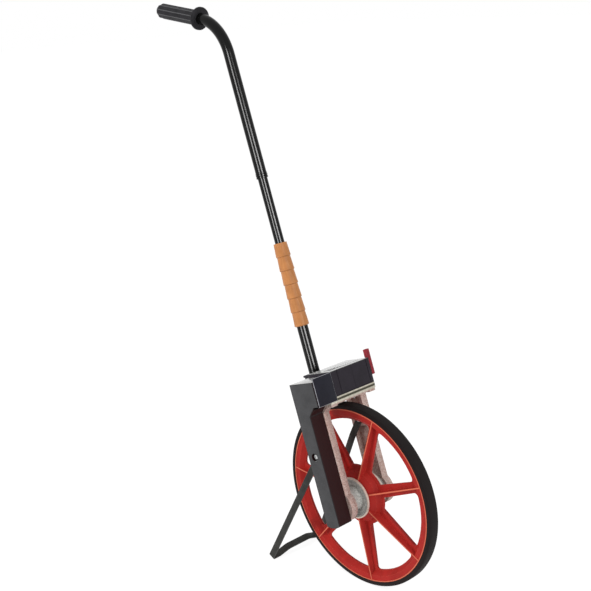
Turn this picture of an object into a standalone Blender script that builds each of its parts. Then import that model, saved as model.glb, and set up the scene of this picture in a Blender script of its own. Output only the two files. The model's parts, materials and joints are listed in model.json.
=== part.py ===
"""Measuring wheel: a one metre road wheel, its cast fork, belt-driven counter, stand and handle.

Metres, +Z up, +X the way the wheel is pushed, -Y the side of the drive cover.
The fork frame is the leaning frame that the fork, counter and handle share: its origin is on the
axle, its Z runs up along the fork and its X points forward, square to it.
"""
import math

import bmesh
import bpy
from mathutils import Matrix, Vector

# Whole object
FORK_LEAN = math.radians(17.4)
TOUCH = 0.0003
OVERRUN = 0.004
THREAD_FIT = 0.0003
RUNNING_FIT = 0.0003
MERGE = 0.000003
LATERAL = (-math.pi / 2, 0, 0)

# Tyre and wheel
TYRE_CIRCUMFERENCE = 1.0
TYRE_RADIUS = TYRE_CIRCUMFERENCE / (2 * math.pi)
TYRE_THICKNESS = 0.00805
TYRE_HALF_WIDTH = 0.010
TYRE_EDGE = 0.0016
TYRE_LIP = 0.0005
TYRE_TONGUE_HALF_WIDTH = 0.003
RIM_RADIUS = TYRE_RADIUS - TYRE_THICKNESS - TOUCH
RIM_HALF_WIDTH = 0.010
RIM_FACE = 0.0103
RIM_CREASE = RIM_RADIUS - RIM_FACE
RIM_DRAFT = 0.0073
RIM_WALL_FOOT = RIM_CREASE - RIM_DRAFT
RIM_GROOVE = 0.002
RIM_LAND = 0.0007
WEB_HALF = 0.0018
HUB_SHOULDER = 0.0444
HUB_SHOULDER_HALF = 0.010
HUB_DRAFT = 0.0029
HUB_FOOT = HUB_SHOULDER + HUB_DRAFT
HUB_LAND = 0.0052
HUB_BOSS = 0.030
HUB_BOSS_DRAFT = 0.002
HUB_HALF_WIDTH = 0.0165
SPOKES = 7
SPOKE_PHASE = math.radians(22.6)
SPOKE_HALF_AT_HUB = 0.0105
SPOKE_HALF_AT_RIM = 0.0086
RIB_HALF_AT_HUB = 0.0058
RIB_HALF_AT_RIM = 0.0012
RIB_SINK = 0.0006
OPENING_INNER = HUB_FOOT + HUB_LAND
OPENING_OUTER = RIM_WALL_FOOT - RIM_LAND
OPENING_HUB_FILLET = 0.006
OPENING_RIM_FILLET = 0.008
WHEEL_SEGMENTS = 46

# Axle and what turns on it
AXLE_RADIUS = 0.005
AXLE_END_RADIUS = 0.003
AXLE_NUT_RADIUS = 0.0085
AXLE_NUT_HEIGHT = 0.006
AXLE_WASHER = 0.0012
SPACER_RADIUS = 0.0080
BEARING_RADIUS = 0.013
BEARING_WIDTH = 0.008
BEARING_CHAMFER = 0.0006
BEARING_RECESS = 0.0008

# Fork legs and shields
LEG_INNER = 0.038
LEG_THICKNESS = 0.013
LEG_OUTER = LEG_INNER + LEG_THICKNESS
LEG_REAR = 0.0184
LEG_FRONT = 0.0193
TYRE_CLEARANCE = 0.00385
LEG_TOP = TYRE_RADIUS + TYRE_CLEARANCE
LEG_GUSSET_REACH = 0.0252
LEG_GUSSET_HEIGHT = 0.013
FAR_GUSSET_REACH = 0.0020
FAR_GUSSET_HEIGHT = 0.0040
LEG_END_RADIUS = 0.027
LEG_END_DROP = 0.004
LEG_CHANNEL_DEPTH = 0.008
LEG_CHANNEL_MARGIN = 0.0042
LEG_CHANNEL_LOW = 0.034
LEG_EDGE = 0.0010
BOSS_WALL = 0.007
LEG_BOSS_RADIUS = BEARING_RADIUS + BOSS_WALL
SHIELD_RADIUS = 0.0353
SHIELD_CLEARANCE = 0.0009
SHIELD_INNER = HUB_HALF_WIDTH + SHIELD_CLEARANCE
SHIELD_THICKNESS = 0.0021
SHIELD_RIM_HEIGHT = 0.0012
SHIELD_RIM_WIDTH = 0.0022
SHIELD_GUSSET_TOP = 0.0215
BEARING_SIDE = SHIELD_INNER + BEARING_RECESS

# Bridge and the shelf on it
BRIDGE_THICKNESS = 0.0042
BRIDGE_LOW = LEG_TOP + TOUCH
BRIDGE_HIGH = BRIDGE_LOW + BRIDGE_THICKNESS
BRIDGE_TONGUE_MARGIN = 0.004
BRIDGE_TONGUE_BEYOND = 0.002
BASE_THICKNESS = 0.0030
BASE_BEHIND_COUNTER = 0.0008
BASE_LIP_THICKNESS = 0.0012
BASE_LIP_RISE = 0.0064
BASE_LOW = BRIDGE_HIGH + TOUCH
BASE_HIGH = BASE_LOW + BASE_THICKNESS
FRAME_SCREW_RADIUS = 0.002
FRAME_SCREW_HEAD = 0.0034
FRAME_SCREW_HEAD_HEIGHT = 0.0024
FRAME_SCREW_LENGTH = 0.018
FRAME_SCREW_REAR = 0.004
FRAME_SCREW_FRONT = 0.013
SCREW_CROWN = 0.0006

# Stand
STAND_PIVOT_FORWARD = 0.004
STAND_PIVOT_DROP = 0.043
STAND_PIVOT_UP = LEG_TOP - STAND_PIVOT_DROP
STAND_LEAN = math.radians(27.2)
STAND_STRAP_WIDTH = 0.0125
STAND_STRAP_THICKNESS = 0.0024
STAND_FOOT_HALF = 0.0625
STAND_STRAIGHT = 0.042
STAND_SHOULDER_RADIUS = 0.032
STAND_EYE = 0.0065
STAND_CORNER_RADIUS = 0.008
STAND_PAD = 0.017
STAND_ARCH = 0.0085
STAND_ARCH_RUN = 0.020
PIVOT_SCREW_RADIUS = 0.0025
PIVOT_SCREW_HEAD = 0.0052
PIVOT_SCREW_HEAD_HEIGHT = 0.0026
PIVOT_SCREW_GRIP = 0.0065
PIVOT_PAD_RADIUS = 0.013

# Number drums and the pinions between them
DRUMS = 5
DRUM_RADIUS = 0.0165
DRUM_WIDTH = 0.0116
DRUM_PITCH = 0.0128
DRUM_SPAN = (DRUMS - 1) * DRUM_PITCH + DRUM_WIDTH
DRUM_FROM_PLATE = 0.0085
DRUM_TO_FAR_PLATE = 0.0093
DRUM_FRONT_CLEARANCE = 0.0021
DRUM_REAR_CLEARANCE = 0.0160
DRUM_TOP_CLEARANCE = 0.0032
DRUM_RIM = 0.0022
DRUM_WEB = 0.0030
DRUM_HUB_RADIUS = 0.0060
PINION_TEETH = 8
PINION_TIP = 0.0040
PINION_ROOT = 0.0027
PINION_WIDTH = 0.0050
PINION_SHAFT_RADIUS = 0.0015
PINION_ANGLE = math.radians(240)

# Counter
COUNTER_WALL = 0.0022
COUNTER_EDGE = 0.0007
COUNTER_SHAFT_FORWARD = 0.0245
COUNTER_SHAFT_OVER_BASE = 0.0262
COUNTER_SHAFT_UP = BASE_HIGH + COUNTER_SHAFT_OVER_BASE
COUNTER_SHAFT_RADIUS = 0.0025
COUNTER_FRONT = COUNTER_SHAFT_FORWARD + DRUM_RADIUS + DRUM_FRONT_CLEARANCE + COUNTER_WALL
COUNTER_REAR = COUNTER_SHAFT_FORWARD - DRUM_RADIUS - DRUM_REAR_CLEARANCE - COUNTER_WALL
COUNTER_LOW = BASE_HIGH + TOUCH
COUNTER_HIGH = COUNTER_SHAFT_UP + DRUM_RADIUS + DRUM_TOP_CLEARANCE + COUNTER_WALL
FRAME_PLATE = 0.0018
FRAME_PLATE_INSET = 0.0008
FRAME_PLATE_CLEARANCE = 0.0031
COUNTER_END = COUNTER_WALL + FRAME_PLATE_INSET + FRAME_PLATE
COUNTER_NEAR = 0.0372
COUNTER_FAR = COUNTER_END + DRUM_FROM_PLATE + DRUM_SPAN + DRUM_TO_FAR_PLATE + COUNTER_END - COUNTER_NEAR
COUNTER_GROOVE = 0.0007
COUNTER_GROOVE_WIDTH = 0.0014
COUNTER_PANEL_FROM_NEAR = 0.0145
COUNTER_PANEL_FROM_FAR = 0.0078
WINDOW_THICKNESS = 0.0015
WINDOW_WIDTH = 0.018
WINDOW_MARGIN = 0.0016
WINDOW_LAP = 0.0018

# Drive
PULLEY_OUTER = 0.0090
PULLEY_WIDTH = 0.0080
BELT_RADIUS = 0.0017
BELT_SEAT = 0.0014
BELT_PITCH_RADIUS = PULLEY_OUTER - BELT_SEAT
BELT_FROM_LEG = 0.0110
BELT_SIDE = LEG_OUTER + BELT_FROM_LEG
BELT_CLEARANCE = 0.0005
BELT_SIDES = 8
INPUT_SHAFT_FORWARD = 0.0036
INPUT_SHAFT_OVER_BASE = 0.0192
INPUT_SHAFT_UP = BASE_HIGH + INPUT_SHAFT_OVER_BASE
INPUT_SHAFT_RADIUS = 0.0025
GEAR_TEETH = 16
GEAR_ADDENDUM = 0.0010
GEAR_DEDENDUM = 0.0016
GEAR_WIDTH = 0.0055
GEAR_ROOT_SHARE = 0.27
GEAR_TIP_SHARE = 0.12
GEAR_FROM_COUNTER = 0.0043
BRACKET_SHEET = 0.0016
BRACKET_HALF = 0.0070
BRACKET_INSET = 0.0005
PULLEY_SCREW_RADIUS = 0.0042
PULLEY_SCREW_HEIGHT = 0.0022

# Drive cover
COVER_OVER_BELT = 0.0175
COVER_FACE = BELT_SIDE + COVER_OVER_BELT
COVER_WALL = 0.0020
COVER_REAR = BELT_PITCH_RADIUS + BELT_RADIUS + BELT_CLEARANCE + COVER_WALL
COVER_FRONT = 0.0188
COVER_BLOCK_BACK = 0.0005
COVER_BLOCK_FRONT = COUNTER_FRONT - COVER_BLOCK_BACK
COVER_STEP_DROP = 0.0045
COVER_STEP_LOW = LEG_TOP - COVER_STEP_DROP
COVER_STEP_RISE = 0.0008
COVER_STEP_HIGH = BASE_HIGH + COVER_STEP_RISE
COVER_TOP_DROP = 0.0057
COVER_TOP = COUNTER_HIGH - COVER_TOP_DROP
COVER_BOTTOM = 0.0275
COVER_BOTTOM_RADIUS = 0.036
COVER_EDGE = 0.0014
COVER_SCREW_UP = 0.090
COVER_SCREW_RADIUS = 0.0015
COVER_SCREW_HEAD = 0.0042
COVER_SCREW_HEAD_HEIGHT = 0.0022
COVER_COUNTERBORE = 0.0068
COVER_COUNTERBORE_DEPTH = 0.0045
COVER_POST_WALL = 0.0015
FASCIA_THICKNESS = 0.0016
FASCIA_EDGE = 0.0005
FASCIA_DROP = 0.0004
FASCIA_TOP = COUNTER_HIGH - FASCIA_DROP

# Reset lever
LEVER_THICKNESS = 0.0058
LEVER_EDGE = 0.0007
LEVER_HUB = 0.0075
LEVER_BEYOND = 0.0003
LEVER_FRONT = COUNTER_FRONT + LEVER_BEYOND
LEVER_ARM = 0.0072
LEVER_ARM_RISE = 0.009
LEVER_TAB_REACH = 0.0060
LEVER_TAB_HEIGHT = 0.0108
LEVER_TAB_INSET = 0.0003
LEVER_TAB_CLEARANCE = 0.0031
LEVER_HIGH = COUNTER_HIGH + LEVER_TAB_CLEARANCE + LEVER_TAB_HEIGHT
LEVER_SCREW_RADIUS = 0.0025
LEVER_SCREW_HEAD = 0.0048
LEVER_SCREW_HEAD_HEIGHT = 0.0022

# Handle's socket
HANDLE_BACK = 0.035
SOCKET_FRONT = 0.0125
SOCKET_BEHIND = 0.0130
SOCKET_REAR = HANDLE_BACK + SOCKET_BEHIND
SOCKET_HALF = 0.0130
SOCKET_HEIGHT = 0.0455
SOCKET_TOP = BRIDGE_HIGH + SOCKET_HEIGHT
SOCKET_RIM = 0.0032
SOCKET_RIM_OVER = 0.0018
SOCKET_RIM_EDGE = 0.0008
SOCKET_FLOOR = 0.0045
SOCKET_BOLT_RISE = 0.0225
SOCKET_BOLT_UP = BRIDGE_HIGH + SOCKET_BOLT_RISE
SOCKET_BOLT_RADIUS = 0.0025
SOCKET_BOLT_HEAD = 0.0046
SOCKET_BOLT_HEAD_HEIGHT = 0.0030
SOCKET_BOLT_BEYOND = 0.0030
SOCKET_SCREW_MARGIN = 0.0035
SOCKET_SCREW_HALF = 0.0095
SOCKET_SCREW_LENGTH = 0.016

# Tubes, collar, grip and sleeve
LOWER_TUBE_RADIUS = 0.0095
LOWER_TUBE_WALL = 0.0010
LOWER_TUBE_SHOWN = 0.192
LOWER_TUBE_TOP = SOCKET_TOP + LOWER_TUBE_SHOWN
MIDDLE_TUBE_RADIUS = LOWER_TUBE_RADIUS - LOWER_TUBE_WALL - RUNNING_FIT
MIDDLE_TUBE_WALL = 0.0010
MIDDLE_TUBE_INSIDE = 0.155
MIDDLE_TUBE_LOW = LOWER_TUBE_TOP - MIDDLE_TUBE_INSIDE
MIDDLE_TUBE_SHOWN = 0.157
MIDDLE_TUBE_LAP = 0.040
UPPER_TUBE_WALL = 0.0009
UPPER_TUBE_RADIUS = MIDDLE_TUBE_RADIUS + TOUCH + UPPER_TUBE_WALL
UPPER_TUBE_LOW = LOWER_TUBE_TOP + MIDDLE_TUBE_SHOWN
UPPER_TUBE_STRAIGHT = 0.2035
COLLAR_PROUD = 0.0007
COLLAR_RADIUS = UPPER_TUBE_RADIUS + COLLAR_PROUD
COLLAR_LENGTH = 0.0090
COLLAR_GROOVE = 0.0006
COLLAR_GROOVE_SHARES = (0.3, 0.7)
BEND_START = UPPER_TUBE_LOW + UPPER_TUBE_STRAIGHT
BEND_RADIUS = 0.0855
BEND_STEPS = 8
BEND_TURN = math.radians(64.4)
TUBE_SEGMENTS = 16
GRIP_LENGTH = 0.116
GRIP_WALL = 0.0037
GRIP_RADIUS = UPPER_TUBE_RADIUS + TOUCH + GRIP_WALL
GRIP_FLANGE_OVER = 0.0061
GRIP_FLANGE_RADIUS = GRIP_RADIUS + GRIP_FLANGE_OVER
GRIP_FLANGE = 0.0045
GRIP_END_WALL = 0.006
GRIP_FLUTES = 10
GRIP_FLUTE_DEPTH = 0.0007
SLEEVE_OVER_SOCKET = 0.0835
SLEEVE_LOW = SOCKET_TOP + SLEEVE_OVER_SOCKET
SLEEVE_TEETH = 6
SLEEVE_TOOTH = 0.0240
SLEEVE_WALL = 0.0016
SLEEVE_ROOT = LOWER_TUBE_RADIUS + RUNNING_FIT + SLEEVE_WALL
SLEEVE_LIP = 0.0015
SLEEVE_TIP = SLEEVE_ROOT + SLEEVE_LIP
SLEEVE_STEP = 0.0016


def clear_scene():
    for item in list(bpy.data.objects):
        bpy.data.objects.remove(item, do_unlink=True)


def paint(name, colour, roughness, metallic=0.0):
    """A plain surface of one colour."""
    found = bpy.data.materials.get(name)
    if found:
        return found
    made = bpy.data.materials.new(name)
    made.use_nodes = True
    shader = made.node_tree.nodes["Principled BSDF"]
    shader.inputs["Base Color"].default_value = (*colour, 1.0)
    shader.inputs["Roughness"].default_value = roughness
    shader.inputs["Metallic"].default_value = metallic
    made.diffuse_color = (*colour, 1.0)
    return made


def red_plastic():
    return paint("red_plastic", (0.52, 0.03, 0.03), 0.4)


def lever_plastic():
    return paint("lever_plastic", (0.42, 0.02, 0.03), 0.4)


def tyre_rubber():
    return paint("tyre_rubber", (0.03, 0.03, 0.028), 0.7)


def cast_aluminium():
    return paint("cast_aluminium", (0.62, 0.60, 0.58), 0.5, 0.8)


def bright_steel():
    return paint("bright_steel", (0.7, 0.7, 0.7), 0.25, 1.0)


def black_steel():
    return paint("black_steel", (0.03, 0.03, 0.03), 0.45, 0.3)


def cover_plastic():
    return paint("cover_plastic", (0.05, 0.055, 0.062), 0.4)


def black_enamel():
    return paint("black_enamel", (0.012, 0.012, 0.012), 0.18)


def grip_vinyl():
    return paint("grip_vinyl", (0.03, 0.03, 0.035), 0.5)


def orange_plastic():
    return paint("orange_plastic", (0.63, 0.28, 0.08), 0.5)


def belt_rubber():
    return paint("belt_rubber", (0.02, 0.02, 0.02), 0.6)


def drum_plastic():
    return paint("drum_plastic", (0.85, 0.85, 0.82), 0.4)


def clear_plastic():
    return paint("clear_plastic", (0.8, 0.85, 0.86), 0.1)


def add_empty(name, parent, location, turn=0.0):
    empty = bpy.data.objects.new(name, None)
    bpy.context.collection.objects.link(empty)
    empty.parent = parent
    empty.location = location
    empty.rotation_euler = (0, turn, 0)
    return empty


def add_object(name, mesh, surface, parent, location=(0, 0, 0), rotation=(0, 0, 0)):
    item = bpy.data.objects.new(name, mesh)
    bpy.context.collection.objects.link(item)
    item.parent = parent
    item.location = location
    item.rotation_euler = rotation
    if surface and not mesh.materials:
        mesh.materials.append(surface)
    return item


def finish_mesh(name, bm, smooth=math.radians(35)):
    bmesh.ops.recalc_face_normals(bm, faces=bm.faces)
    mesh = bpy.data.meshes.new(name)
    bm.to_mesh(mesh)
    bm.free()
    mesh.shade_smooth()
    mesh.set_sharp_from_angle(angle=smooth)
    return mesh


def lathe(name, profile, segments=16):
    """A closed profile of (radius, height) points turned round Z."""
    bm = bmesh.new()
    corners = [bm.verts.new((radius, 0, height)) for radius, height in profile]
    for corner, ahead in zip(corners, corners[1:] + corners[:1]):
        if corner.co.x or ahead.co.x:
            bm.edges.new((corner, ahead))
    geometry = list(bm.verts) + list(bm.edges)
    bmesh.ops.spin(bm, geom=geometry, axis=(0, 0, 1), cent=(0, 0, 0), angle=2 * math.pi,
                   steps=segments, use_merge=True)
    bmesh.ops.remove_doubles(bm, verts=bm.verts, dist=MERGE)
    return finish_mesh(name, bm)


def ring(name, bore, radius, low, high, segments=16):
    return lathe(name, [(bore, low), (radius, low), (radius, high), (bore, high)], segments)


def rod(name, radius, low, high, segments=14):
    return lathe(name, [(0, low), (radius, low), (radius, high), (0, high)], segments)


def prism(name, outline, near, far, bevel=0.0):
    """An outline of (forward, up) points, given depth across the object along Y."""
    bm = bmesh.new()
    face = bm.faces.new([bm.verts.new((forward, near, up)) for forward, up in outline])
    pushed = bmesh.ops.extrude_face_region(bm, geom=[face])
    moved = [part for part in pushed["geom"] if isinstance(part, bmesh.types.BMVert)]
    bmesh.ops.translate(bm, verts=moved, vec=(0, far - near, 0))
    bmesh.ops.recalc_face_normals(bm, faces=bm.faces)
    if bevel:
        rims = [edge for edge in bm.edges if abs(edge.verts[0].co.y - edge.verts[1].co.y) < TOUCH]
        bmesh.ops.bevel(bm, geom=rims, offset=bevel, offset_type="OFFSET", affect="EDGES", segments=1,
                        profile=0.5, material=-1)
    return finish_mesh(name, bm)


def slab(name, outline, low, high):
    """An outline of (forward, side) points, given thickness along Z."""
    bm = bmesh.new()
    face = bm.faces.new([bm.verts.new((forward, side, low)) for forward, side in outline])
    pushed = bmesh.ops.extrude_face_region(bm, geom=[face])
    moved = [part for part in pushed["geom"] if isinstance(part, bmesh.types.BMVert)]
    bmesh.ops.translate(bm, verts=moved, vec=(0, 0, high - low))
    return finish_mesh(name, bm)


def block(name, forward, side, up, bevel=0.0):
    """A box between pairs of places, with its edges eased."""
    bm = bmesh.new()
    size = Vector((forward[1] - forward[0], side[1] - side[0], up[1] - up[0]))
    middle = Vector((forward[1] + forward[0], side[1] + side[0], up[1] + up[0])) / 2
    bmesh.ops.create_cube(bm, size=1, matrix=Matrix.Translation(middle) @ Matrix.Diagonal((*size, 1)))
    if bevel:
        bmesh.ops.bevel(bm, geom=list(bm.edges), offset=bevel, offset_type="OFFSET", affect="EDGES",
                        segments=2, profile=0.5, material=-1)
    return finish_mesh(name, bm)


def box_outline(forward, up):
    return [(forward[0], up[0]), (forward[1], up[0]), (forward[1], up[1]), (forward[0], up[1])]


def arc(centre, radius, start, end, steps):
    return [(centre[0] + radius * math.cos(start + (end - start) * i / steps),
             centre[1] + radius * math.sin(start + (end - start) * i / steps)) for i in range(steps + 1)]


def fillet(outline, radii, steps=4):
    """Round the corners of a closed outline, each by its own radius."""
    rounded = []
    count = len(outline)
    for i, radius in enumerate(radii):
        corner = Vector(outline[i])
        if not radius:
            rounded.append(tuple(corner))
            continue
        back = (Vector(outline[i - 1]) - corner).normalized()
        ahead = (Vector(outline[(i + 1) % count]) - corner).normalized()
        rounded += round_corner(corner, back, ahead, radius, steps)
    return rounded


def round_corner(corner, back, ahead, radius, steps):
    half = back.angle(ahead) / 2
    centre = corner + (back + ahead).normalized() * radius / math.sin(half)
    first = corner + back * radius / math.tan(half) - centre
    last = corner + ahead * radius / math.tan(half) - centre
    turn = first.angle_signed(last)
    points = []
    for i in range(steps + 1):
        spoke = first.copy()
        spoke.rotate(Matrix.Rotation(-turn * i / steps, 2))
        points.append(tuple(centre + spoke))
    return points


def fillet_path(points, radii, steps=5):
    """Round the inner corners of an open path."""
    path = [tuple(points[0])]
    for i in range(1, len(points) - 1):
        corner = Vector(points[i])
        if not radii[i]:
            path.append(tuple(corner))
            continue
        back = (Vector(points[i - 1]) - corner).normalized()
        ahead = (Vector(points[i + 1]) - corner).normalized()
        path += round_corner(corner, back, ahead, radii[i], steps)
    path.append(tuple(points[-1]))
    return path


def thicken(path, thickness):
    """The outline of a strip of even thickness that follows an open path."""
    left, right = [], []
    for i, point in enumerate(path):
        here = Vector(point)
        before = (here - Vector(path[i - 1])).normalized() if i else None
        after = (Vector(path[i + 1]) - here).normalized() if i + 1 < len(path) else None
        along = ((before or after) + (after or before)).normalized()
        normal = Vector((-along[1], along[0]))
        reach = thickness / 2 / normal.dot(Vector((-(before or after)[1], (before or after)[0])))
        left.append(tuple(here + normal * reach))
        right.append(tuple(here - normal * reach))
    return left + right[::-1]


def loop_round(bm, here, along, radius, sides):
    """A ring of corners about a point, square to its path in the XZ plane."""
    across = Vector((-along.z, 0, along.x))
    side = Vector((0, 1, 0))
    turns = [2 * math.pi * k / sides for k in range(sides)]
    spots = [here + radius * (math.cos(turn) * across + math.sin(turn) * side) for turn in turns]
    return [bm.verts.new(spot) for spot in spots]


def sweep(name, path, outer, inner, segments=TUBE_SEGMENTS):
    """A round tube along a path in the XZ plane, open at both ends."""
    bm = bmesh.new()
    rings = []
    for i, point in enumerate(path):
        before = path[max(i - 1, 0)]
        after = path[min(i + 1, len(path) - 1)]
        along = (Vector(after) - Vector(before)).normalized()
        rings.append([loop_round(bm, Vector(point), along, radius, segments) for radius in (outer, inner)])
    for (outer_a, inner_a), (outer_b, inner_b) in zip(rings, rings[1:]):
        for k in range(segments):
            m = (k + 1) % segments
            bm.faces.new((outer_a[k], outer_a[m], outer_b[m], outer_b[k]))
            bm.faces.new((inner_a[m], inner_a[k], inner_b[k], inner_b[m]))
    for outer_end, inner_end in (rings[0], rings[-1]):
        for k in range(segments):
            m = (k + 1) % segments
            bm.faces.new((outer_end[k], inner_end[k], inner_end[m], outer_end[m]))
    return finish_mesh(name, bm)


def combine(item, other, operation):
    change = item.modifiers.new(operation.lower(), "BOOLEAN")
    change.operation = operation
    change.solver = "EXACT"
    change.object = other
    other.hide_render = True
    other.display_type = "WIRE"


def cut(item, *tools):
    for tool in tools:
        combine(item, tool, "DIFFERENCE")


def fuse(item, *additions):
    for addition in additions:
        combine(item, addition, "UNION")


def helper(mesh, parent, location=(0, 0, 0), rotation=(0, 0, 0)):
    item = add_object("tool_" + mesh.name, mesh, None, parent, location, rotation)
    item.hide_render = True
    item.display_type = "WIRE"
    return item


def gear_outline(teeth, root, tip, base_share, tip_share, phase=0.0):
    """Plain straight-sided teeth round a wheel."""
    points = []
    pitch = 2 * math.pi / teeth
    for i in range(teeth):
        middle = phase + i * pitch
        for radius, share in ((root, -base_share), (tip, -tip_share), (tip, tip_share), (root, base_share)):
            turn = middle + share * pitch
            points.append((radius * math.cos(turn), radius * math.sin(turn)))
    return points


def toothed_wheel(name, outline, bore, width, surface, parent, location):
    """A gear that turns about Y, with its bore cut through."""
    half = width / 2
    item = add_object(name, prism(name, outline, -half, half), surface, parent, location)
    through = rod(name + "_bore", bore, -half - OVERRUN, half + OVERRUN)
    cut(item, helper(through, parent, location, LATERAL))
    return item


def joined(name, meshes):
    """Separate closed shapes kept in one mesh, for use as a single tool."""
    bm = bmesh.new()
    for mesh in meshes:
        bm.from_mesh(mesh)
        bpy.data.meshes.remove(mesh)
    mesh = bpy.data.meshes.new(name)
    bm.to_mesh(mesh)
    bm.free()
    return mesh


def wheel_profile():
    """Half of the section from bore to rim, then its mirror image."""
    bore = AXLE_RADIUS + TOUCH
    upper = [(bore, HUB_HALF_WIDTH), (HUB_BOSS, HUB_HALF_WIDTH),
             (HUB_BOSS + HUB_BOSS_DRAFT, HUB_SHOULDER_HALF),
             (HUB_SHOULDER, HUB_SHOULDER_HALF), (HUB_FOOT, WEB_HALF), (RIM_WALL_FOOT, WEB_HALF),
             (RIM_CREASE, RIM_HALF_WIDTH),
             (RIM_RADIUS, RIM_HALF_WIDTH), (RIM_RADIUS, TYRE_TONGUE_HALF_WIDTH),
             (RIM_RADIUS - RIM_GROOVE, TYRE_TONGUE_HALF_WIDTH)]
    return upper + [(radius, -height) for radius, height in reversed(upper)]


def opening_outline(index):
    """One opening between two neighbouring spokes, with its corners rounded."""
    pitch = 2 * math.pi / SPOKES
    start = SPOKE_PHASE + index * pitch
    inner_turn = math.asin(SPOKE_HALF_AT_HUB / OPENING_INNER)
    outer_turn = math.asin(SPOKE_HALF_AT_RIM / OPENING_OUTER)
    inner = arc((0, 0), OPENING_INNER, start + pitch - inner_turn, start + inner_turn, 2)
    outer = arc((0, 0), OPENING_OUTER, start + outer_turn, start + pitch - outer_turn, 6)
    inner_radii = [OPENING_HUB_FILLET, 0, OPENING_HUB_FILLET]
    outer_radii = [OPENING_RIM_FILLET, 0, 0, 0, 0, 0, OPENING_RIM_FILLET]
    return fillet(inner + outer, inner_radii + outer_radii, 3)


def rib_mesh(index):
    """The upright rib along one spoke, as deep as the hub and the rim, and thickest at the hub."""
    foot = HUB_SHOULDER - RIB_SINK
    tip = RIM_CREASE + RIB_SINK
    reach = RIM_HALF_WIDTH - RIB_SINK
    outline = [(foot, -RIB_HALF_AT_HUB), (tip, -RIB_HALF_AT_RIM), (tip, RIB_HALF_AT_RIM),
               (foot, RIB_HALF_AT_HUB)]
    turn = -(SPOKE_PHASE + index * 2 * math.pi / SPOKES)
    mesh = prism("rib", outline, -reach, reach)
    mesh.transform(Matrix.Rotation(turn, 4, "Y"))
    return mesh


def build_wheel(axis):
    wheel = add_object("wheel", lathe("wheel", wheel_profile(), WHEEL_SEGMENTS), red_plastic(), axis,
                       rotation=LATERAL)
    reach = WEB_HALF + OVERRUN
    windows = joined("openings", [prism("opening", opening_outline(index), -reach, reach)
                                  for index in range(SPOKES)])
    ribs = joined("ribs", [rib_mesh(i) for i in range(SPOKES)])
    cut(wheel, helper(windows, axis))
    fuse(wheel, helper(ribs, axis))

    inner = RIM_RADIUS + TOUCH
    tongue = RIM_RADIUS - RIM_GROOVE + TOUCH
    tongue_side = TYRE_TONGUE_HALF_WIDTH - TOUCH
    edge = TYRE_HALF_WIDTH - TYRE_EDGE
    half = [(TYRE_RADIUS, edge), (TYRE_RADIUS - TYRE_LIP, TYRE_HALF_WIDTH - TYRE_LIP),
            (TYRE_RADIUS - TYRE_EDGE, TYRE_HALF_WIDTH), (inner, TYRE_HALF_WIDTH), (inner, tongue_side),
            (tongue, tongue_side)]
    profile = half + [(radius, -side) for radius, side in reversed(half)]
    add_object("tyre", lathe("tyre", profile, WHEEL_SEGMENTS), tyre_rubber(), axis, rotation=LATERAL)


def facing(side):
    """The turn that lays a lathed piece's Z along +Y or -Y."""
    return (-side * math.pi / 2, 0, 0)


def build_spacers(axis):
    """The short collars that keep the hub clear of the bearings."""
    mesh = ring("axle_spacer", AXLE_RADIUS + TOUCH, SPACER_RADIUS, HUB_HALF_WIDTH + TOUCH,
                BEARING_SIDE - TOUCH)
    for side, word in ((-1, "near"), (1, "far")):
        add_object("axle_spacer_" + word, mesh, bright_steel(), axis, rotation=facing(side))


def axle_far_end():
    return LEG_OUTER + AXLE_WASHER + AXLE_NUT_HEIGHT


def build_axle(axis):
    """The axle carries the wheel, the far nut and, on its thinner near end, the driving pulley."""
    near_shoulder = LEG_OUTER + TOUCH
    near_end = BELT_SIDE + PULLEY_WIDTH / 2 + TOUCH
    far_end = axle_far_end()
    profile = [(0, -near_end), (AXLE_END_RADIUS, -near_end), (AXLE_END_RADIUS, -near_shoulder),
               (AXLE_RADIUS, -near_shoulder), (AXLE_RADIUS, far_end), (0, far_end)]
    add_object("axle", lathe("axle", profile, 16), bright_steel(), axis, rotation=LATERAL)
    washer_low = LEG_OUTER + RUNNING_FIT
    nut_low = washer_low + AXLE_WASHER + TOUCH
    washer = ring("axle_washer", AXLE_RADIUS + TOUCH, AXLE_NUT_RADIUS, washer_low, washer_low + AXLE_WASHER)
    add_object("axle_washer", washer, bright_steel(), axis, rotation=LATERAL)
    hexagon = arc((0, 0), AXLE_NUT_RADIUS, 0, 2 * math.pi, 6)[:-1]
    nut_high = nut_low + AXLE_NUT_HEIGHT
    nut = add_object("axle_nut", prism("axle_nut", hexagon, nut_low, nut_high), bright_steel(), axis)
    thread = rod("axle_nut_bore", AXLE_RADIUS + THREAD_FIT, nut_low - OVERRUN, nut_high + OVERRUN)
    cut(nut, helper(thread, axis, rotation=LATERAL))


def pulley_profile(bore):
    """A small pulley whose round groove holds the belt."""
    half = PULLEY_WIDTH / 2
    groove = BELT_RADIUS + TOUCH
    curve = [(BELT_PITCH_RADIUS - groove * math.cos(turn), groove * math.sin(turn))
             for turn in [math.radians(a) for a in (-60, -30, 0, 30, 60)]]
    return ([(bore, -half), (PULLEY_OUTER, -half), (PULLEY_OUTER, -groove)] + curve
            + [(PULLEY_OUTER, groove), (PULLEY_OUTER, half), (bore, half)])


def build_driving_pulley(axis):
    place = (0, -BELT_SIDE, 0)
    mesh = lathe("drive_pulley", pulley_profile(AXLE_END_RADIUS + TOUCH), 18)
    add_object("drive_pulley", mesh, bright_steel(), axis, place, LATERAL)
    low = BELT_SIDE + PULLEY_WIDTH / 2 + TOUCH + RUNNING_FIT
    screw = rod("pulley_screw", PULLEY_SCREW_RADIUS, low, low + PULLEY_SCREW_HEIGHT, 16)
    add_object("pulley_screw", screw, bright_steel(), axis, rotation=facing(-1))


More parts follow.
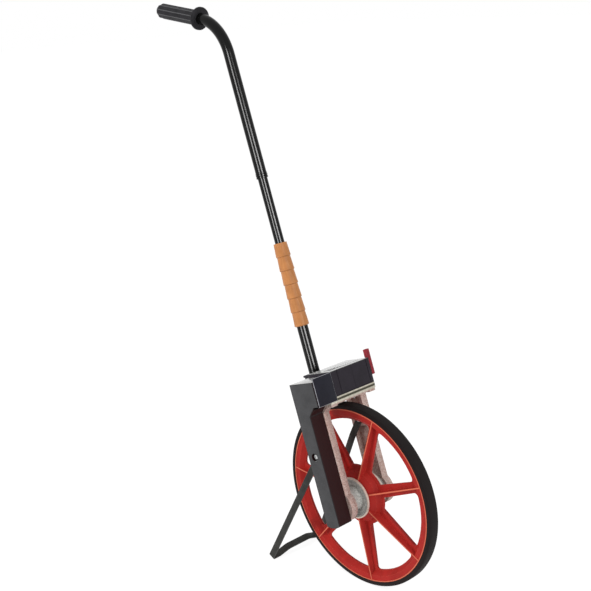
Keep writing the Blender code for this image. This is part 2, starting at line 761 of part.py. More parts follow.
def leg_outline(reach, height):
    """The side view of a fork leg: straight edges, a round lower end and a top flared forward."""
    centre = (0, -LEG_END_DROP)
    rear_turn = math.pi - math.acos(LEG_REAR / LEG_END_RADIUS)
    front_turn = math.acos(LEG_FRONT / LEG_END_RADIUS)
    lower = arc(centre, LEG_END_RADIUS, rear_turn, 2 * math.pi + front_turn, 12)
    upper = [(LEG_FRONT, LEG_TOP - height), (LEG_FRONT + reach, LEG_TOP), (-LEG_REAR, LEG_TOP)]
    return lower + upper


def channel_tools(fork, side):
    """The two pockets cast into the inner face, with solid metal left round the stand's pivot."""
    near, far = sorted((side * (LEG_INNER - OVERRUN), side * (LEG_INNER + LEG_CHANNEL_DEPTH)))
    rear = -LEG_REAR + LEG_CHANNEL_MARGIN
    front = LEG_FRONT - LEG_CHANNEL_MARGIN
    spans = ((LEG_CHANNEL_LOW, STAND_PIVOT_UP - PIVOT_PAD_RADIUS),
             (STAND_PIVOT_UP + PIVOT_PAD_RADIUS, LEG_TOP - LEG_CHANNEL_MARGIN))
    meshes = []
    for span in spans:
        outline = fillet(box_outline((rear, front), span), [LEG_CHANNEL_MARGIN] * 4, 3)
        meshes.append(prism("channel", outline, near, far))
    return helper(joined("channels", meshes), fork)


def shield_profile():
    """The bearing's boss, with the dished round shield that stands beside the hub."""
    face = SHIELD_INNER + SHIELD_THICKNESS
    rim = face + SHIELD_RIM_HEIGHT
    floor = SHIELD_RADIUS - SHIELD_RIM_WIDTH
    return [(0, SHIELD_INNER), (SHIELD_RADIUS, SHIELD_INNER), (SHIELD_RADIUS, rim), (floor, rim),
            (floor, face), (LEG_BOSS_RADIUS, face), (LEG_BOSS_RADIUS, LEG_INNER + TOUCH),
            (0, LEG_INNER + TOUCH)]


def shield_gusset(side):
    """The casting below the boss, which joins the shield's foot to the leg's round end."""
    span = math.acos((SHIELD_GUSSET_TOP - LEG_END_DROP) / LEG_END_RADIUS)
    outline = arc((0, -LEG_END_DROP), LEG_END_RADIUS, 1.5 * math.pi - span, 1.5 * math.pi + span, 8)
    inner = SHIELD_INNER + SHIELD_THICKNESS / 2
    return prism("gusset", outline, side * inner, side * (LEG_INNER + TOUCH))


def build_leg(fork, side, word):
    near, far = sorted((side * LEG_INNER, side * LEG_OUTER))
    flare = (LEG_GUSSET_REACH, LEG_GUSSET_HEIGHT) if side < 0 else (FAR_GUSSET_REACH, FAR_GUSSET_HEIGHT)
    plate = prism("leg", leg_outline(*flare), near, far, LEG_EDGE)
    leg = add_object("fork_leg_" + word, plate, cast_aluminium(), fork)
    boss = helper(lathe("boss", shield_profile(), 24), fork, rotation=facing(side))
    fuse(leg, boss, helper(shield_gusset(side), fork))
    seat_end = BEARING_SIDE + BEARING_WIDTH + TOUCH
    seat = rod("seat", BEARING_RADIUS + TOUCH, SHIELD_INNER - OVERRUN, seat_end, 20)
    passage = rod("passage", AXLE_RADIUS + RUNNING_FIT + TOUCH, SHIELD_INNER, LEG_OUTER + OVERRUN)
    pivot_hole = rod("pivot_hole", PIVOT_SCREW_RADIUS + THREAD_FIT, LEG_INNER - OVERRUN,
                     LEG_INNER + PIVOT_SCREW_GRIP + TOUCH)
    cut(leg, channel_tools(fork, side), helper(seat, fork, rotation=facing(side)),
        helper(passage, fork, rotation=facing(side)),
        helper(pivot_hole, fork, (STAND_PIVOT_FORWARD, 0, STAND_PIVOT_UP), facing(side)),
        frame_screw_holes(fork))
    if side < 0:
        screw_hole = rod("cover_screw_hole", COVER_SCREW_RADIUS + THREAD_FIT, cover_screw_low() - TOUCH,
                         LEG_OUTER + OVERRUN)
        cut(leg, helper(screw_hole, fork, cover_screw_place(), facing(side)))


def frame_screw_places():
    """Two screws down into the top of each leg."""
    side = LEG_INNER + LEG_THICKNESS / 2
    return [(forward, y) for y in (-side, side) for forward in (-FRAME_SCREW_REAR, FRAME_SCREW_FRONT)]


def frame_screw_holes(fork):
    """The holes that the frame screws share through base, bridge and legs."""
    low = BASE_HIGH - FRAME_SCREW_LENGTH - TOUCH
    meshes = []
    for forward, side in frame_screw_places():
        mesh = rod("frame_screw_hole", FRAME_SCREW_RADIUS + THREAD_FIT, low, BASE_HIGH + OVERRUN, 12)
        mesh.transform(Matrix.Translation((forward, side, 0)))
        meshes.append(mesh)
    return helper(joined("frame_screw_holes", meshes), fork)


def screw_mesh(name, radius, length, head, head_height, segments=12):
    """A screw whose head sits on Z = 0 and whose shank runs down."""
    edge = head_height - SCREW_CROWN
    profile = [(0, -length), (radius, -length), (radius, 0), (head, 0), (head, edge),
               (head - SCREW_CROWN, head_height), (0, head_height)]
    return lathe(name, profile, segments)


def build_bridge(fork):
    """The plate across both legs, with a narrow tongue behind that carries the handle's socket."""
    front = LEG_FRONT + LEG_GUSSET_REACH
    rear = -LEG_REAR
    tongue = -SOCKET_REAR - BRIDGE_TONGUE_BEYOND
    narrow = SOCKET_HALF + BRIDGE_TONGUE_MARGIN
    half = LEG_OUTER
    outline = [(front, -half), (front, half), (rear, half), (rear, narrow), (tongue, narrow),
               (tongue, -narrow), (rear, -narrow), (rear, -half)]
    plate = slab("fork_bridge", outline, BRIDGE_LOW, BRIDGE_HIGH)
    bridge = add_object("fork_bridge", plate, cast_aluminium(), fork)
    cut(bridge, frame_screw_holes(fork), socket_screw_holes(fork))

    base_rear = COUNTER_REAR - BASE_BEHIND_COUNTER
    lip_rear = COUNTER_FRONT + TOUCH
    lip_front = lip_rear + BASE_LIP_THICKNESS
    lip_near = -COUNTER_NEAR
    base_outline = [(base_rear, -half), (COUNTER_FRONT, -half), (COUNTER_FRONT, lip_near),
                    (lip_front, lip_near), (lip_front, half), (base_rear, half)]
    shelf = slab("counter_base", base_outline, BASE_LOW, BASE_HIGH)
    base = add_object("counter_base", shelf, bright_steel(), fork)
    lip = block("base_lip", (lip_rear, lip_front), (lip_near, half), (BASE_LOW, BASE_HIGH + BASE_LIP_RISE))
    fuse(base, helper(bracket_mesh(), fork), helper(lip, fork))
    cut(base, frame_screw_holes(fork), input_shaft_hole(fork))

    mesh = screw_mesh("frame_screw", FRAME_SCREW_RADIUS, FRAME_SCREW_LENGTH, FRAME_SCREW_HEAD,
                      FRAME_SCREW_HEAD_HEIGHT)
    for number, (forward, side) in enumerate(frame_screw_places(), 1):
        place = (forward, side, BASE_HIGH + TOUCH)
        add_object("frame_screw_%d" % number, mesh, bright_steel(), fork, place)


def build_bearings(fork):
    bore = AXLE_RADIUS + TOUCH
    shoulder = BEARING_RADIUS - BEARING_CHAMFER
    profile = [(bore, 0), (shoulder, 0), (BEARING_RADIUS, BEARING_CHAMFER),
               (BEARING_RADIUS, BEARING_WIDTH - BEARING_CHAMFER), (shoulder, BEARING_WIDTH),
               (bore, BEARING_WIDTH)]
    mesh = lathe("axle_bearing", profile, 20)
    for side, word in ((-1, "near"), (1, "far")):
        place = (0, side * BEARING_SIDE, 0)
        add_object("axle_bearing_" + word, mesh, bright_steel(), fork, place, facing(side))


def cover_screw_place():
    return ((COVER_FRONT - COVER_REAR) / 2, 0, COVER_SCREW_UP)


def cover_screw_low():
    return LEG_OUTER - LEG_THICKNESS / 2


def cover_outline(inset=0.0):
    """The side view of the drive cover, from its round foot to the wider block at the top."""
    rear = -COVER_REAR + inset
    front = COVER_FRONT - inset
    block_front = COVER_BLOCK_FRONT - inset
    middle = (COVER_FRONT - COVER_REAR) / 2
    radius = COVER_BOTTOM_RADIUS - inset
    swing = math.asin((front - middle) / radius)
    full_swing = math.asin((COVER_FRONT - middle) / COVER_BOTTOM_RADIUS)
    centre = (middle, COVER_BOTTOM_RADIUS * math.cos(full_swing) - COVER_BOTTOM)
    foot = arc(centre, radius, 1.5 * math.pi - swing, 1.5 * math.pi + swing, 6)
    return foot + [(front, COVER_STEP_LOW + inset / 2), (block_front, COVER_STEP_HIGH + inset / 2),
                   (block_front, COVER_TOP - inset), (rear, COVER_TOP - inset)]


def block_outline(inset=0.0):
    """The part of the cover above the bridge, which reaches in to the counter."""
    low = BASE_HIGH + TOUCH
    rear = -COVER_REAR + inset
    front = COVER_BLOCK_FRONT - inset
    opening = OVERRUN if inset else 0
    return box_outline((rear, front), (low - opening, COVER_TOP - inset))


def build_cover(fork):
    """A thin shell over the belt, open towards the leg and the counter."""
    inner_edge = -(LEG_OUTER + TOUCH)
    block_edge = -(COUNTER_NEAR + TOUCH)
    shell = prism("drive_cover", cover_outline(), -COVER_FACE, inner_edge, COVER_EDGE)
    cover = add_object("drive_cover", shell, cover_plastic(), fork)
    inner_face = -COVER_FACE + COVER_WALL
    fuse(cover, helper(prism("cover_block", block_outline(), inner_face, block_edge), fork))
    hollow = prism("cover_hollow", cover_outline(COVER_WALL), inner_face, inner_edge + OVERRUN)
    block_hollow = prism("block_hollow", block_outline(COVER_WALL), inner_face, block_edge + OVERRUN)
    cut(cover, helper(hollow, fork), helper(block_hollow, fork))

    post_low = LEG_OUTER + TOUCH
    cup_low = COVER_FACE - COVER_COUNTERBORE_DEPTH - COVER_WALL
    slim = COVER_SCREW_RADIUS + THREAD_FIT + COVER_POST_WALL
    wide = COVER_COUNTERBORE + COVER_POST_WALL
    post = lathe("cover_post", [(0, post_low), (slim, post_low), (slim, cup_low), (wide, cup_low),
                                (wide, COVER_FACE - COVER_WALL / 2), (0, COVER_FACE - COVER_WALL / 2)], 16)
    bore = rod("cover_post_bore", COVER_SCREW_RADIUS + THREAD_FIT, post_low - OVERRUN,
               COVER_FACE + OVERRUN, 12)
    counterbore = rod("cover_counterbore", COVER_COUNTERBORE, COVER_FACE - COVER_COUNTERBORE_DEPTH,
                      COVER_FACE + OVERRUN, 16)
    fuse(cover, helper(post, fork, cover_screw_place(), facing(-1)))
    cut(cover, helper(bore, fork, cover_screw_place(), facing(-1)),
        helper(counterbore, fork, cover_screw_place(), facing(-1)))

    seat = COVER_FACE - COVER_COUNTERBORE_DEPTH + TOUCH
    screw = screw_mesh("cover_screw", COVER_SCREW_RADIUS, seat - cover_screw_low(), COVER_SCREW_HEAD,
                       COVER_SCREW_HEAD_HEIGHT)
    place = cover_screw_place()
    add_object("cover_screw", screw, bright_steel(), fork, (place[0], -seat, place[2]), facing(-1))

    front = COVER_BLOCK_FRONT + TOUCH
    fascia = block("fascia", (front, front + FASCIA_THICKNESS), (-COVER_FACE + COVER_EDGE, block_edge),
                   (BASE_HIGH + TOUCH, FASCIA_TOP), FASCIA_EDGE)
    add_object("cover_fascia", fascia, cover_plastic(), fork)


def bracket_mesh():
    """The upright ear on the counter's base that carries the input shaft."""
    forward = (INPUT_SHAFT_FORWARD - BRACKET_HALF, INPUT_SHAFT_FORWARD + BRACKET_HALF)
    low = BASE_HIGH - BASE_THICKNESS / 2
    outline = [(forward[0], low), (forward[1], low)]
    outline += arc((INPUT_SHAFT_FORWARD, INPUT_SHAFT_UP), BRACKET_HALF, 0, math.pi, 8)
    outer = -LEG_OUTER + BRACKET_INSET
    return prism("bracket", outline, outer, outer + BRACKET_SHEET)


def input_shaft_hole(fork):
    mesh = rod("input_shaft_hole", INPUT_SHAFT_RADIUS + RUNNING_FIT, LEG_INNER, LEG_OUTER + OVERRUN, 16)
    return helper(mesh, fork, (INPUT_SHAFT_FORWARD, 0, INPUT_SHAFT_UP), facing(-1))


def gear_axes():
    """The distance between the two gear axes and the direction from the first to the second."""
    forward = COUNTER_SHAFT_FORWARD - INPUT_SHAFT_FORWARD
    up = COUNTER_SHAFT_UP - INPUT_SHAFT_UP
    return math.hypot(forward, up), math.atan2(up, forward)


def gear_side():
    return -(COUNTER_NEAR + GEAR_FROM_COUNTER + GEAR_WIDTH / 2)


def build_gear(name, bore, axis, phase):
    distance, direction = gear_axes()
    root = distance / 2 - GEAR_DEDENDUM
    tip = distance / 2 + GEAR_ADDENDUM
    outline = gear_outline(GEAR_TEETH, root, tip, GEAR_ROOT_SHARE, GEAR_TIP_SHARE, direction + phase)
    toothed_wheel(name, outline, bore, GEAR_WIDTH, bright_steel(), axis, (0, gear_side(), 0))


def build_input_shaft(axis):
    """The upper pulley's shaft, which brings the belt's motion to the first gear."""
    radius = INPUT_SHAFT_RADIUS
    outer = BELT_SIDE + PULLEY_WIDTH / 2
    inner = -gear_side() - GEAR_WIDTH / 2
    shaft = rod("input_shaft", radius, inner, outer, 16)
    add_object("input_shaft", shaft, bright_steel(), axis, rotation=facing(-1))
    mesh = lathe("counter_pulley", pulley_profile(radius + TOUCH), 18)
    add_object("counter_pulley", mesh, bright_steel(), axis, (0, -BELT_SIDE, 0), LATERAL)
    build_gear("input_gear", radius + TOUCH, axis, 0)


def belt_path():
    """The loop that runs round the two pulleys, seen from the side."""
    top = Vector((INPUT_SHAFT_FORWARD, INPUT_SHAFT_UP))
    lean = math.atan2(top[1], top[0])
    lower = arc((0, 0), BELT_PITCH_RADIUS, lean + math.pi / 2, lean + 1.5 * math.pi, 10)
    upper = arc(top, BELT_PITCH_RADIUS, lean - math.pi / 2, lean + math.pi / 2, 10)
    return lower + upper


def build_belt(fork):
    path = [Vector((forward, -BELT_SIDE, up)) for forward, up in belt_path()]
    bm = bmesh.new()
    rings = []
    for here, before, after in zip(path, path[-1:] + path[:-1], path[1:] + path[:1]):
        rings.append(loop_round(bm, here, (after - before).normalized(), BELT_RADIUS, BELT_SIDES))
    for ring_here, ring_next in zip(rings, rings[1:] + rings[:1]):
        for k in range(BELT_SIDES):
            m = (k + 1) % BELT_SIDES
            bm.faces.new((ring_here[k], ring_here[m], ring_next[m], ring_next[k]))
    add_object("drive_belt", finish_mesh("drive_belt", bm), belt_rubber(), fork)


def inner_near():
    """The near inner side of the counter's housing."""
    return -COUNTER_NEAR + COUNTER_WALL


def inner_far():
    return COUNTER_FAR - COUNTER_WALL


def near_plate_outer():
    return inner_near() + FRAME_PLATE_INSET


def far_plate_outer():
    return inner_far() - FRAME_PLATE_INSET


def shaft_place():
    return (COUNTER_SHAFT_FORWARD, 0, COUNTER_SHAFT_UP)


def drum_side(index):
    """The middle of a drum; the first drum is the one nearest to the drive."""
    first = near_plate_outer() + FRAME_PLATE + DRUM_FROM_PLATE + DRUM_WIDTH / 2
    return first + index * DRUM_PITCH


def window_middle():
    return (drum_side(0) + drum_side(DRUMS - 1)) / 2


def counter_box(inset, low):
    return ((COUNTER_REAR + inset, COUNTER_FRONT - inset), (-COUNTER_NEAR + inset, COUNTER_FAR - inset),
            (low, COUNTER_HIGH - inset))


def window_box(margin, low, high):
    middle = window_middle()
    half_width = WINDOW_WIDTH / 2 + margin
    half_length = DRUM_SPAN / 2 + WINDOW_MARGIN + margin
    return ((COUNTER_SHAFT_FORWARD - half_width, COUNTER_SHAFT_FORWARD + half_width),
            (middle - half_length, middle + half_length), (low, high))


def build_counter_housing(fork):
    """The box over the number drums, open below, with its window let into the top."""
    case = block("counter_housing", *counter_box(0, COUNTER_LOW), COUNTER_EDGE)
    housing = add_object("counter_housing", case, cover_plastic(), fork)
    hollow = block("housing_hollow", *counter_box(COUNTER_WALL, COUNTER_LOW - OVERRUN))
    ledge = COUNTER_HIGH - WINDOW_THICKNESS - TOUCH
    recess = block("window_recess", *window_box(TOUCH, ledge, COUNTER_HIGH + OVERRUN))
    under = COUNTER_HIGH - COUNTER_WALL - OVERRUN
    opening = block("window_opening", *window_box(-WINDOW_LAP, under, COUNTER_HIGH))
    shaft_hole = rod("housing_shaft_hole", COUNTER_SHAFT_RADIUS + RUNNING_FIT, -inner_near() - OVERRUN,
                     COUNTER_NEAR + OVERRUN, 16)
    screw_hole = rod("lever_screw_hole", LEVER_SCREW_RADIUS + THREAD_FIT, inner_far() - OVERRUN,
                     COUNTER_FAR + OVERRUN, 16)
    cut(housing, helper(hollow, fork), helper(recess, fork), helper(opening, fork),
        helper(shaft_hole, fork, shaft_place(), facing(-1)),
        helper(screw_hole, fork, shaft_place(), facing(1)))
    seams = (-COUNTER_NEAR + COUNTER_PANEL_FROM_NEAR, COUNTER_FAR - COUNTER_PANEL_FROM_FAR)
    for number, side in enumerate(seams, 1):
        groove = block("panel_groove", (COUNTER_FRONT - COUNTER_GROOVE, COUNTER_FRONT + OVERRUN),
                       (side - COUNTER_GROOVE_WIDTH / 2, side + COUNTER_GROOVE_WIDTH / 2),
                       (COUNTER_LOW - OVERRUN, COUNTER_HIGH + OVERRUN))
        cut(housing, helper(groove, fork))

    pane = block("counter_window", *window_box(0, COUNTER_HIGH - WINDOW_THICKNESS, COUNTER_HIGH))
    add_object("counter_window", pane, clear_plastic(), fork)


def build_counter_frame(fork):
    """Two upright plates, between which the drums' shaft and the pinions' shaft are held."""
    inset = COUNTER_WALL + FRAME_PLATE_INSET
    forward = (COUNTER_REAR + inset, COUNTER_FRONT - inset)
    up = (COUNTER_LOW, COUNTER_HIGH - COUNTER_WALL - FRAME_PLATE_CLEARANCE)
    outline = box_outline(forward, up)
    near = near_plate_outer()
    far = far_plate_outer()
    spans = (("near", near, near + FRAME_PLATE), ("far", far - FRAME_PLATE, far))
    for word, low, high in spans:
        sheet = prism("counter_frame", outline, low, high)
        plate = add_object("counter_frame_" + word, sheet, bright_steel(), fork)
        big = rod("drum_shaft_hole", COUNTER_SHAFT_RADIUS + RUNNING_FIT, low - OVERRUN, high + OVERRUN, 16)
        small = rod("pinion_shaft_hole", PINION_SHAFT_RADIUS + TOUCH, low - OVERRUN, high + OVERRUN, 12)
        cut(plate, helper(big, fork, shaft_place(), LATERAL), helper(small, fork, pinion_place(), LATERAL))
    shaft = rod("pinion_shaft", PINION_SHAFT_RADIUS, near, far, 12)
    add_object("pinion_shaft", shaft, bright_steel(), fork, pinion_place(), LATERAL)


def pinion_place():
    """The pinions' axis, set so that their teeth just clear the drums."""
    reach = DRUM_RADIUS + PINION_TIP + TOUCH
    return (COUNTER_SHAFT_FORWARD + reach * math.cos(PINION_ANGLE), 0,
            COUNTER_SHAFT_UP + reach * math.sin(PINION_ANGLE))


def drum_profile():
    """A number drum, recessed on one side."""
    half = DRUM_WIDTH / 2
    floor = -half + DRUM_WEB
    bore = COUNTER_SHAFT_RADIUS + TOUCH
    return [(bore, -half), (DRUM_RADIUS, -half), (DRUM_RADIUS, half), (DRUM_RADIUS - DRUM_RIM, half),
            (DRUM_RADIUS - DRUM_RIM, floor), (DRUM_HUB_RADIUS, floor), (DRUM_HUB_RADIUS, half),
            (bore, half)]


def build_counter_shaft(axis):
    """The shaft that the gear turns, with the first number drum on it."""
    low = -gear_side() + GEAR_WIDTH / 2
    shaft = rod("counter_shaft", COUNTER_SHAFT_RADIUS, -low, far_plate_outer(), 16)
    add_object("counter_shaft", shaft, bright_steel(), axis, rotation=LATERAL)
    build_gear("counter_gear", COUNTER_SHAFT_RADIUS + TOUCH, axis, math.pi + math.pi / GEAR_TEETH)


def build_drums(axes):
    mesh = lathe("number_drum", drum_profile(), 20)
    for index, axis in enumerate(axes):
        place = (0, drum_side(index), 0)
        add_object("number_drum_%d" % (index + 1), mesh, drum_plastic(), axis, place, LATERAL)


def build_pinions(axes):
    outline = gear_outline(PINION_TEETH, PINION_ROOT, PINION_TIP, GEAR_ROOT_SHARE, GEAR_TIP_SHARE)
    for index, axis in enumerate(axes):
        side = (drum_side(index) + drum_side(index + 1)) / 2
        name = "transfer_pinion_%d" % (index + 1)
        toothed_wheel(name, outline, PINION_SHAFT_RADIUS + TOUCH, PINION_WIDTH, drum_plastic(), axis,
                      (0, side, 0))


def lever_outline():
    """The reset lever from the side, measured from its pivot: a round hub, an arm and an upright."""
    front = LEVER_FRONT - COUNTER_SHAFT_FORWARD
    high = LEVER_HIGH - COUNTER_SHAFT_UP
    back = front - LEVER_ARM
    hub = arc((0, 0), LEVER_HUB, math.pi / 2, 1.5 * math.pi, 10)
    return hub + [(front, -LEVER_HUB), (front, high), (back, high), (back, LEVER_ARM_RISE)]


def build_lever(fork, axis):
    low = COUNTER_FAR + TOUCH
    high = low + LEVER_THICKNESS
    plate = prism("reset_lever", lever_outline(), low, high, LEVER_EDGE)
    lever = add_object("reset_lever", plate, lever_plastic(), axis)
    front = LEVER_FRONT - COUNTER_SHAFT_FORWARD
    top = LEVER_HIGH - COUNTER_SHAFT_UP
    inset = LEVER_TAB_INSET
    tab = block("lever_tab", (front - LEVER_ARM + inset, front - inset),
                (low - LEVER_TAB_REACH, high - LEVER_THICKNESS / 2),
                (top - LEVER_TAB_HEIGHT, top - inset), LEVER_EDGE)
    hole = rod("lever_hole", LEVER_SCREW_RADIUS + RUNNING_FIT, low - OVERRUN, high + OVERRUN, 16)
    fuse(lever, helper(tab, axis))
    cut(lever, helper(hole, axis, rotation=LATERAL))
    seat = high + TOUCH
    screw = screw_mesh("lever_screw", LEVER_SCREW_RADIUS, seat - inner_far(), LEVER_SCREW_HEAD,
                       LEVER_SCREW_HEAD_HEIGHT, 14)
    place = shaft_place()
    add_object("lever_screw", screw, bright_steel(), fork, (place[0], seat, place[2]), facing(1))


def stand_strap_half():
    """How far out the strap's middle lies where it hangs inside the legs."""
    return LEG_INNER - TOUCH - STAND_STRAP_THICKNESS / 2


def stand_pivot_height():
    return TYRE_RADIUS + STAND_PIVOT_UP * math.cos(FORK_LEAN) + STAND_PIVOT_FORWARD * math.sin(FORK_LEAN)


def stand_length():
    """The length that brings the strap's front edge to the ground the tyre stands on."""
    return (stand_pivot_height() - STAND_STRAP_WIDTH / 2 * math.sin(STAND_LEAN)) / math.cos(STAND_LEAN)


def stand_path():
    """The strap's middle line, seen from behind: two splayed legs and an arched foot bar."""
    half = stand_strap_half()
    foot = STAND_FOOT_HALF
    bottom = -stand_length() + STAND_STRAP_THICKNESS / 2
    arch = foot - STAND_PAD - STAND_ARCH_RUN
    side = [(-half, STAND_EYE), (-half, -STAND_STRAIGHT), (-foot, bottom), (-foot + STAND_PAD, bottom),
            (-arch, bottom + STAND_ARCH)]
    corner = STAND_CORNER_RADIUS
    radii = [0, STAND_SHOULDER_RADIUS, corner, corner, corner]
    points = side + [(-y, up) for y, up in reversed(side)]
    return fillet_path(points, radii + radii[::-1], 3)


def build_stand(fork, axis):
    outline = thicken(stand_path(), STAND_STRAP_THICKNESS)
    mesh = prism("stand", outline, -STAND_STRAP_WIDTH / 2, STAND_STRAP_WIDTH / 2)
    mesh.transform(Matrix.Rotation(math.pi / 2, 4, "Z"))
    stand = add_object("stand", mesh, black_steel(), axis)
    for side, word in ((-1, "near"), (1, "far")):
        inner = stand_strap_half() - STAND_STRAP_THICKNESS / 2
        hole = rod("stand_hole", PIVOT_SCREW_RADIUS + RUNNING_FIT, inner - OVERRUN, LEG_INNER + OVERRUN, 16)
        cut(stand, helper(hole, axis, rotation=facing(side)))
        seat = inner - TOUCH
        screw = screw_mesh("stand_pivot_screw", PIVOT_SCREW_RADIUS, LEG_INNER + PIVOT_SCREW_GRIP - seat,
                           PIVOT_SCREW_HEAD, PIVOT_SCREW_HEAD_HEIGHT, 14)
        add_object("stand_pivot_screw_" + word, screw, bright_steel(), fork,
                   (STAND_PIVOT_FORWARD, side * seat, STAND_PIVOT_UP), facing(-side))


def socket_screw_places():
    """Four screws up through the bridge's tongue into the corners of the socket."""
    rear = -SOCKET_REAR + SOCKET_SCREW_MARGIN
    front = -SOCKET_FRONT - SOCKET_SCREW_MARGIN
    sides = (-SOCKET_SCREW_HALF, SOCKET_SCREW_HALF)
    return [(forward, side) for side in sides for forward in (rear, front)]


def socket_screw_holes(fork):
    low = BRIDGE_LOW - OVERRUN
    high = BRIDGE_LOW + SOCKET_SCREW_LENGTH
    meshes = []
    for forward, side in socket_screw_places():
        mesh = rod("socket_screw_hole", FRAME_SCREW_RADIUS + THREAD_FIT, low, high, 12)
        mesh.transform(Matrix.Translation((forward, side, 0)))
        meshes.append(mesh)
    return helper(joined("socket_screw_holes", meshes), fork)


def bolt_bore(fork):
    """The cross hole that the bolt shares through the socket and the tube."""
    reach = SOCKET_HALF + OVERRUN
    mesh = rod("bolt_bore", SOCKET_BOLT_RADIUS + THREAD_FIT, -reach, reach, 14)
    return helper(mesh, fork, (-HANDLE_BACK, 0, SOCKET_BOLT_UP), LATERAL)


def build_socket(fork):
    low = BRIDGE_HIGH + TOUCH
    span = (-SOCKET_REAR, -SOCKET_FRONT)
    rim_span = (-SOCKET_REAR - SOCKET_RIM_OVER, -SOCKET_FRONT + SOCKET_RIM_OVER)
    side = (-SOCKET_HALF, SOCKET_HALF)
    rim_side = (-SOCKET_HALF - SOCKET_RIM_OVER, SOCKET_HALF + SOCKET_RIM_OVER)
    body = block("handle_socket", span, side, (low, SOCKET_TOP))
    socket = add_object("handle_socket", body, cover_plastic(), fork)
    rim_up = (SOCKET_TOP - SOCKET_RIM, SOCKET_TOP + TOUCH)
    rim = block("socket_rim", rim_span, rim_side, rim_up, SOCKET_RIM_EDGE)
    fuse(socket, helper(rim, fork))
    bore = rod("socket_bore", LOWER_TUBE_RADIUS + TOUCH, low + SOCKET_FLOOR, SOCKET_TOP + OVERRUN, 20)
    cut(socket, helper(bore, fork, (-HANDLE_BACK, 0, 0)), bolt_bore(fork), socket_screw_holes(fork))

    mesh = screw_mesh("socket_screw", FRAME_SCREW_RADIUS, SOCKET_SCREW_LENGTH - TOUCH, FRAME_SCREW_HEAD,
                      FRAME_SCREW_HEAD_HEIGHT, 12)
    for number, (forward, side) in enumerate(socket_screw_places(), 1):
        place = (forward, side, BRIDGE_LOW - TOUCH)
        add_object("socket_screw_%d" % number, mesh, bright_steel(), fork, place, (math.pi, 0, 0))

    seat = SOCKET_HALF + TOUCH
    far_end = seat + SOCKET_BOLT_HEAD_HEIGHT + SOCKET_BOLT_BEYOND
    bolt = screw_mesh("socket_bolt", SOCKET_BOLT_RADIUS, seat + far_end, SOCKET_BOLT_HEAD,
                      SOCKET_BOLT_HEAD_HEIGHT, 14)
    add_object("socket_bolt", bolt, bright_steel(), fork, (-HANDLE_BACK, -seat, SOCKET_BOLT_UP), facing(-1))
    hexagon = arc((0, 0), SOCKET_BOLT_HEAD, 0, 2 * math.pi, 6)[:-1]
    place = (-HANDLE_BACK, seat + SOCKET_BOLT_HEAD_HEIGHT / 2, SOCKET_BOLT_UP)
    toothed_wheel("socket_nut", hexagon, SOCKET_BOLT_RADIUS + THREAD_FIT, SOCKET_BOLT_HEAD_HEIGHT,
                  bright_steel(), fork, place)


def build_lower_tube(fork):
    low = BRIDGE_HIGH + TOUCH + SOCKET_FLOOR + TOUCH
    bore = LOWER_TUBE_RADIUS - LOWER_TUBE_WALL
    mesh = ring("lower_tube", bore, LOWER_TUBE_RADIUS, low, LOWER_TUBE_TOP, 20)
    tube = add_object("lower_tube", mesh, black_enamel(), fork, (-HANDLE_BACK, 0, 0))
    cut(tube, bolt_bore(fork))


def build_sleeve(axis):
    """The sliding sleeve: a stack of short cones, each wider at its foot than at its top."""
    bore = LOWER_TUBE_RADIUS + RUNNING_FIT
    profile = [(bore, SLEEVE_LOW)]
    for index in range(SLEEVE_TEETH):
        foot = SLEEVE_LOW + index * SLEEVE_TOOTH
        profile += [(SLEEVE_ROOT, foot), (SLEEVE_TIP, foot + SLEEVE_STEP),
                    (SLEEVE_ROOT, foot + SLEEVE_TOOTH)]
    profile.append((bore, SLEEVE_LOW + SLEEVE_TEETH * SLEEVE_TOOTH))
    add_object("locking_sleeve", lathe("locking_sleeve", profile, 18), orange_plastic(), axis)


def build_upper_handle(axis):
    """The telescoping part: a thin tube, a collar, the bent upper tube and the grip."""
    middle_top = UPPER_TUBE_LOW + MIDDLE_TUBE_LAP
    mesh = ring("middle_tube", MIDDLE_TUBE_RADIUS - MIDDLE_TUBE_WALL, MIDDLE_TUBE_RADIUS, MIDDLE_TUBE_LOW,
                middle_top)
    add_object("middle_tube", mesh, black_enamel(), axis)

    bore = MIDDLE_TUBE_RADIUS + TOUCH
    high = UPPER_TUBE_LOW - TOUCH
    low = high - COLLAR_LENGTH
    groove = COLLAR_RADIUS - COLLAR_GROOVE
    profile = [(bore, low), (COLLAR_RADIUS, low)]
    for share in COLLAR_GROOVE_SHARES:
        middle = low + share * COLLAR_LENGTH
        profile += [(COLLAR_RADIUS, middle - COLLAR_GROOVE), (groove, middle),
                    (COLLAR_RADIUS, middle + COLLAR_GROOVE)]
    profile += [(COLLAR_RADIUS, high), (bore, high)]
    add_object("tube_collar", lathe("tube_collar", profile, 18), black_enamel(), axis)

    bend_centre = (-BEND_RADIUS, BEND_START)
    bend = arc(bend_centre, BEND_RADIUS, 0, BEND_TURN, BEND_STEPS)
    inside = GRIP_LENGTH - GRIP_END_WALL - TOUCH
    tip = (bend[-1][0] - inside * math.sin(BEND_TURN), bend[-1][1] + inside * math.cos(BEND_TURN))
    path = [(0, 0, UPPER_TUBE_LOW)] + [(x, 0, z) for x, z in bend] + [(tip[0], 0, tip[1])]
    add_object("upper_tube", sweep("upper_tube", path, UPPER_TUBE_RADIUS, bore), black_enamel(), axis)

    place = (bend[-1][0], 0, bend[-1][1])
    add_object("grip", grip_mesh(), grip_vinyl(), axis, place, (0, -BEND_TURN, 0))


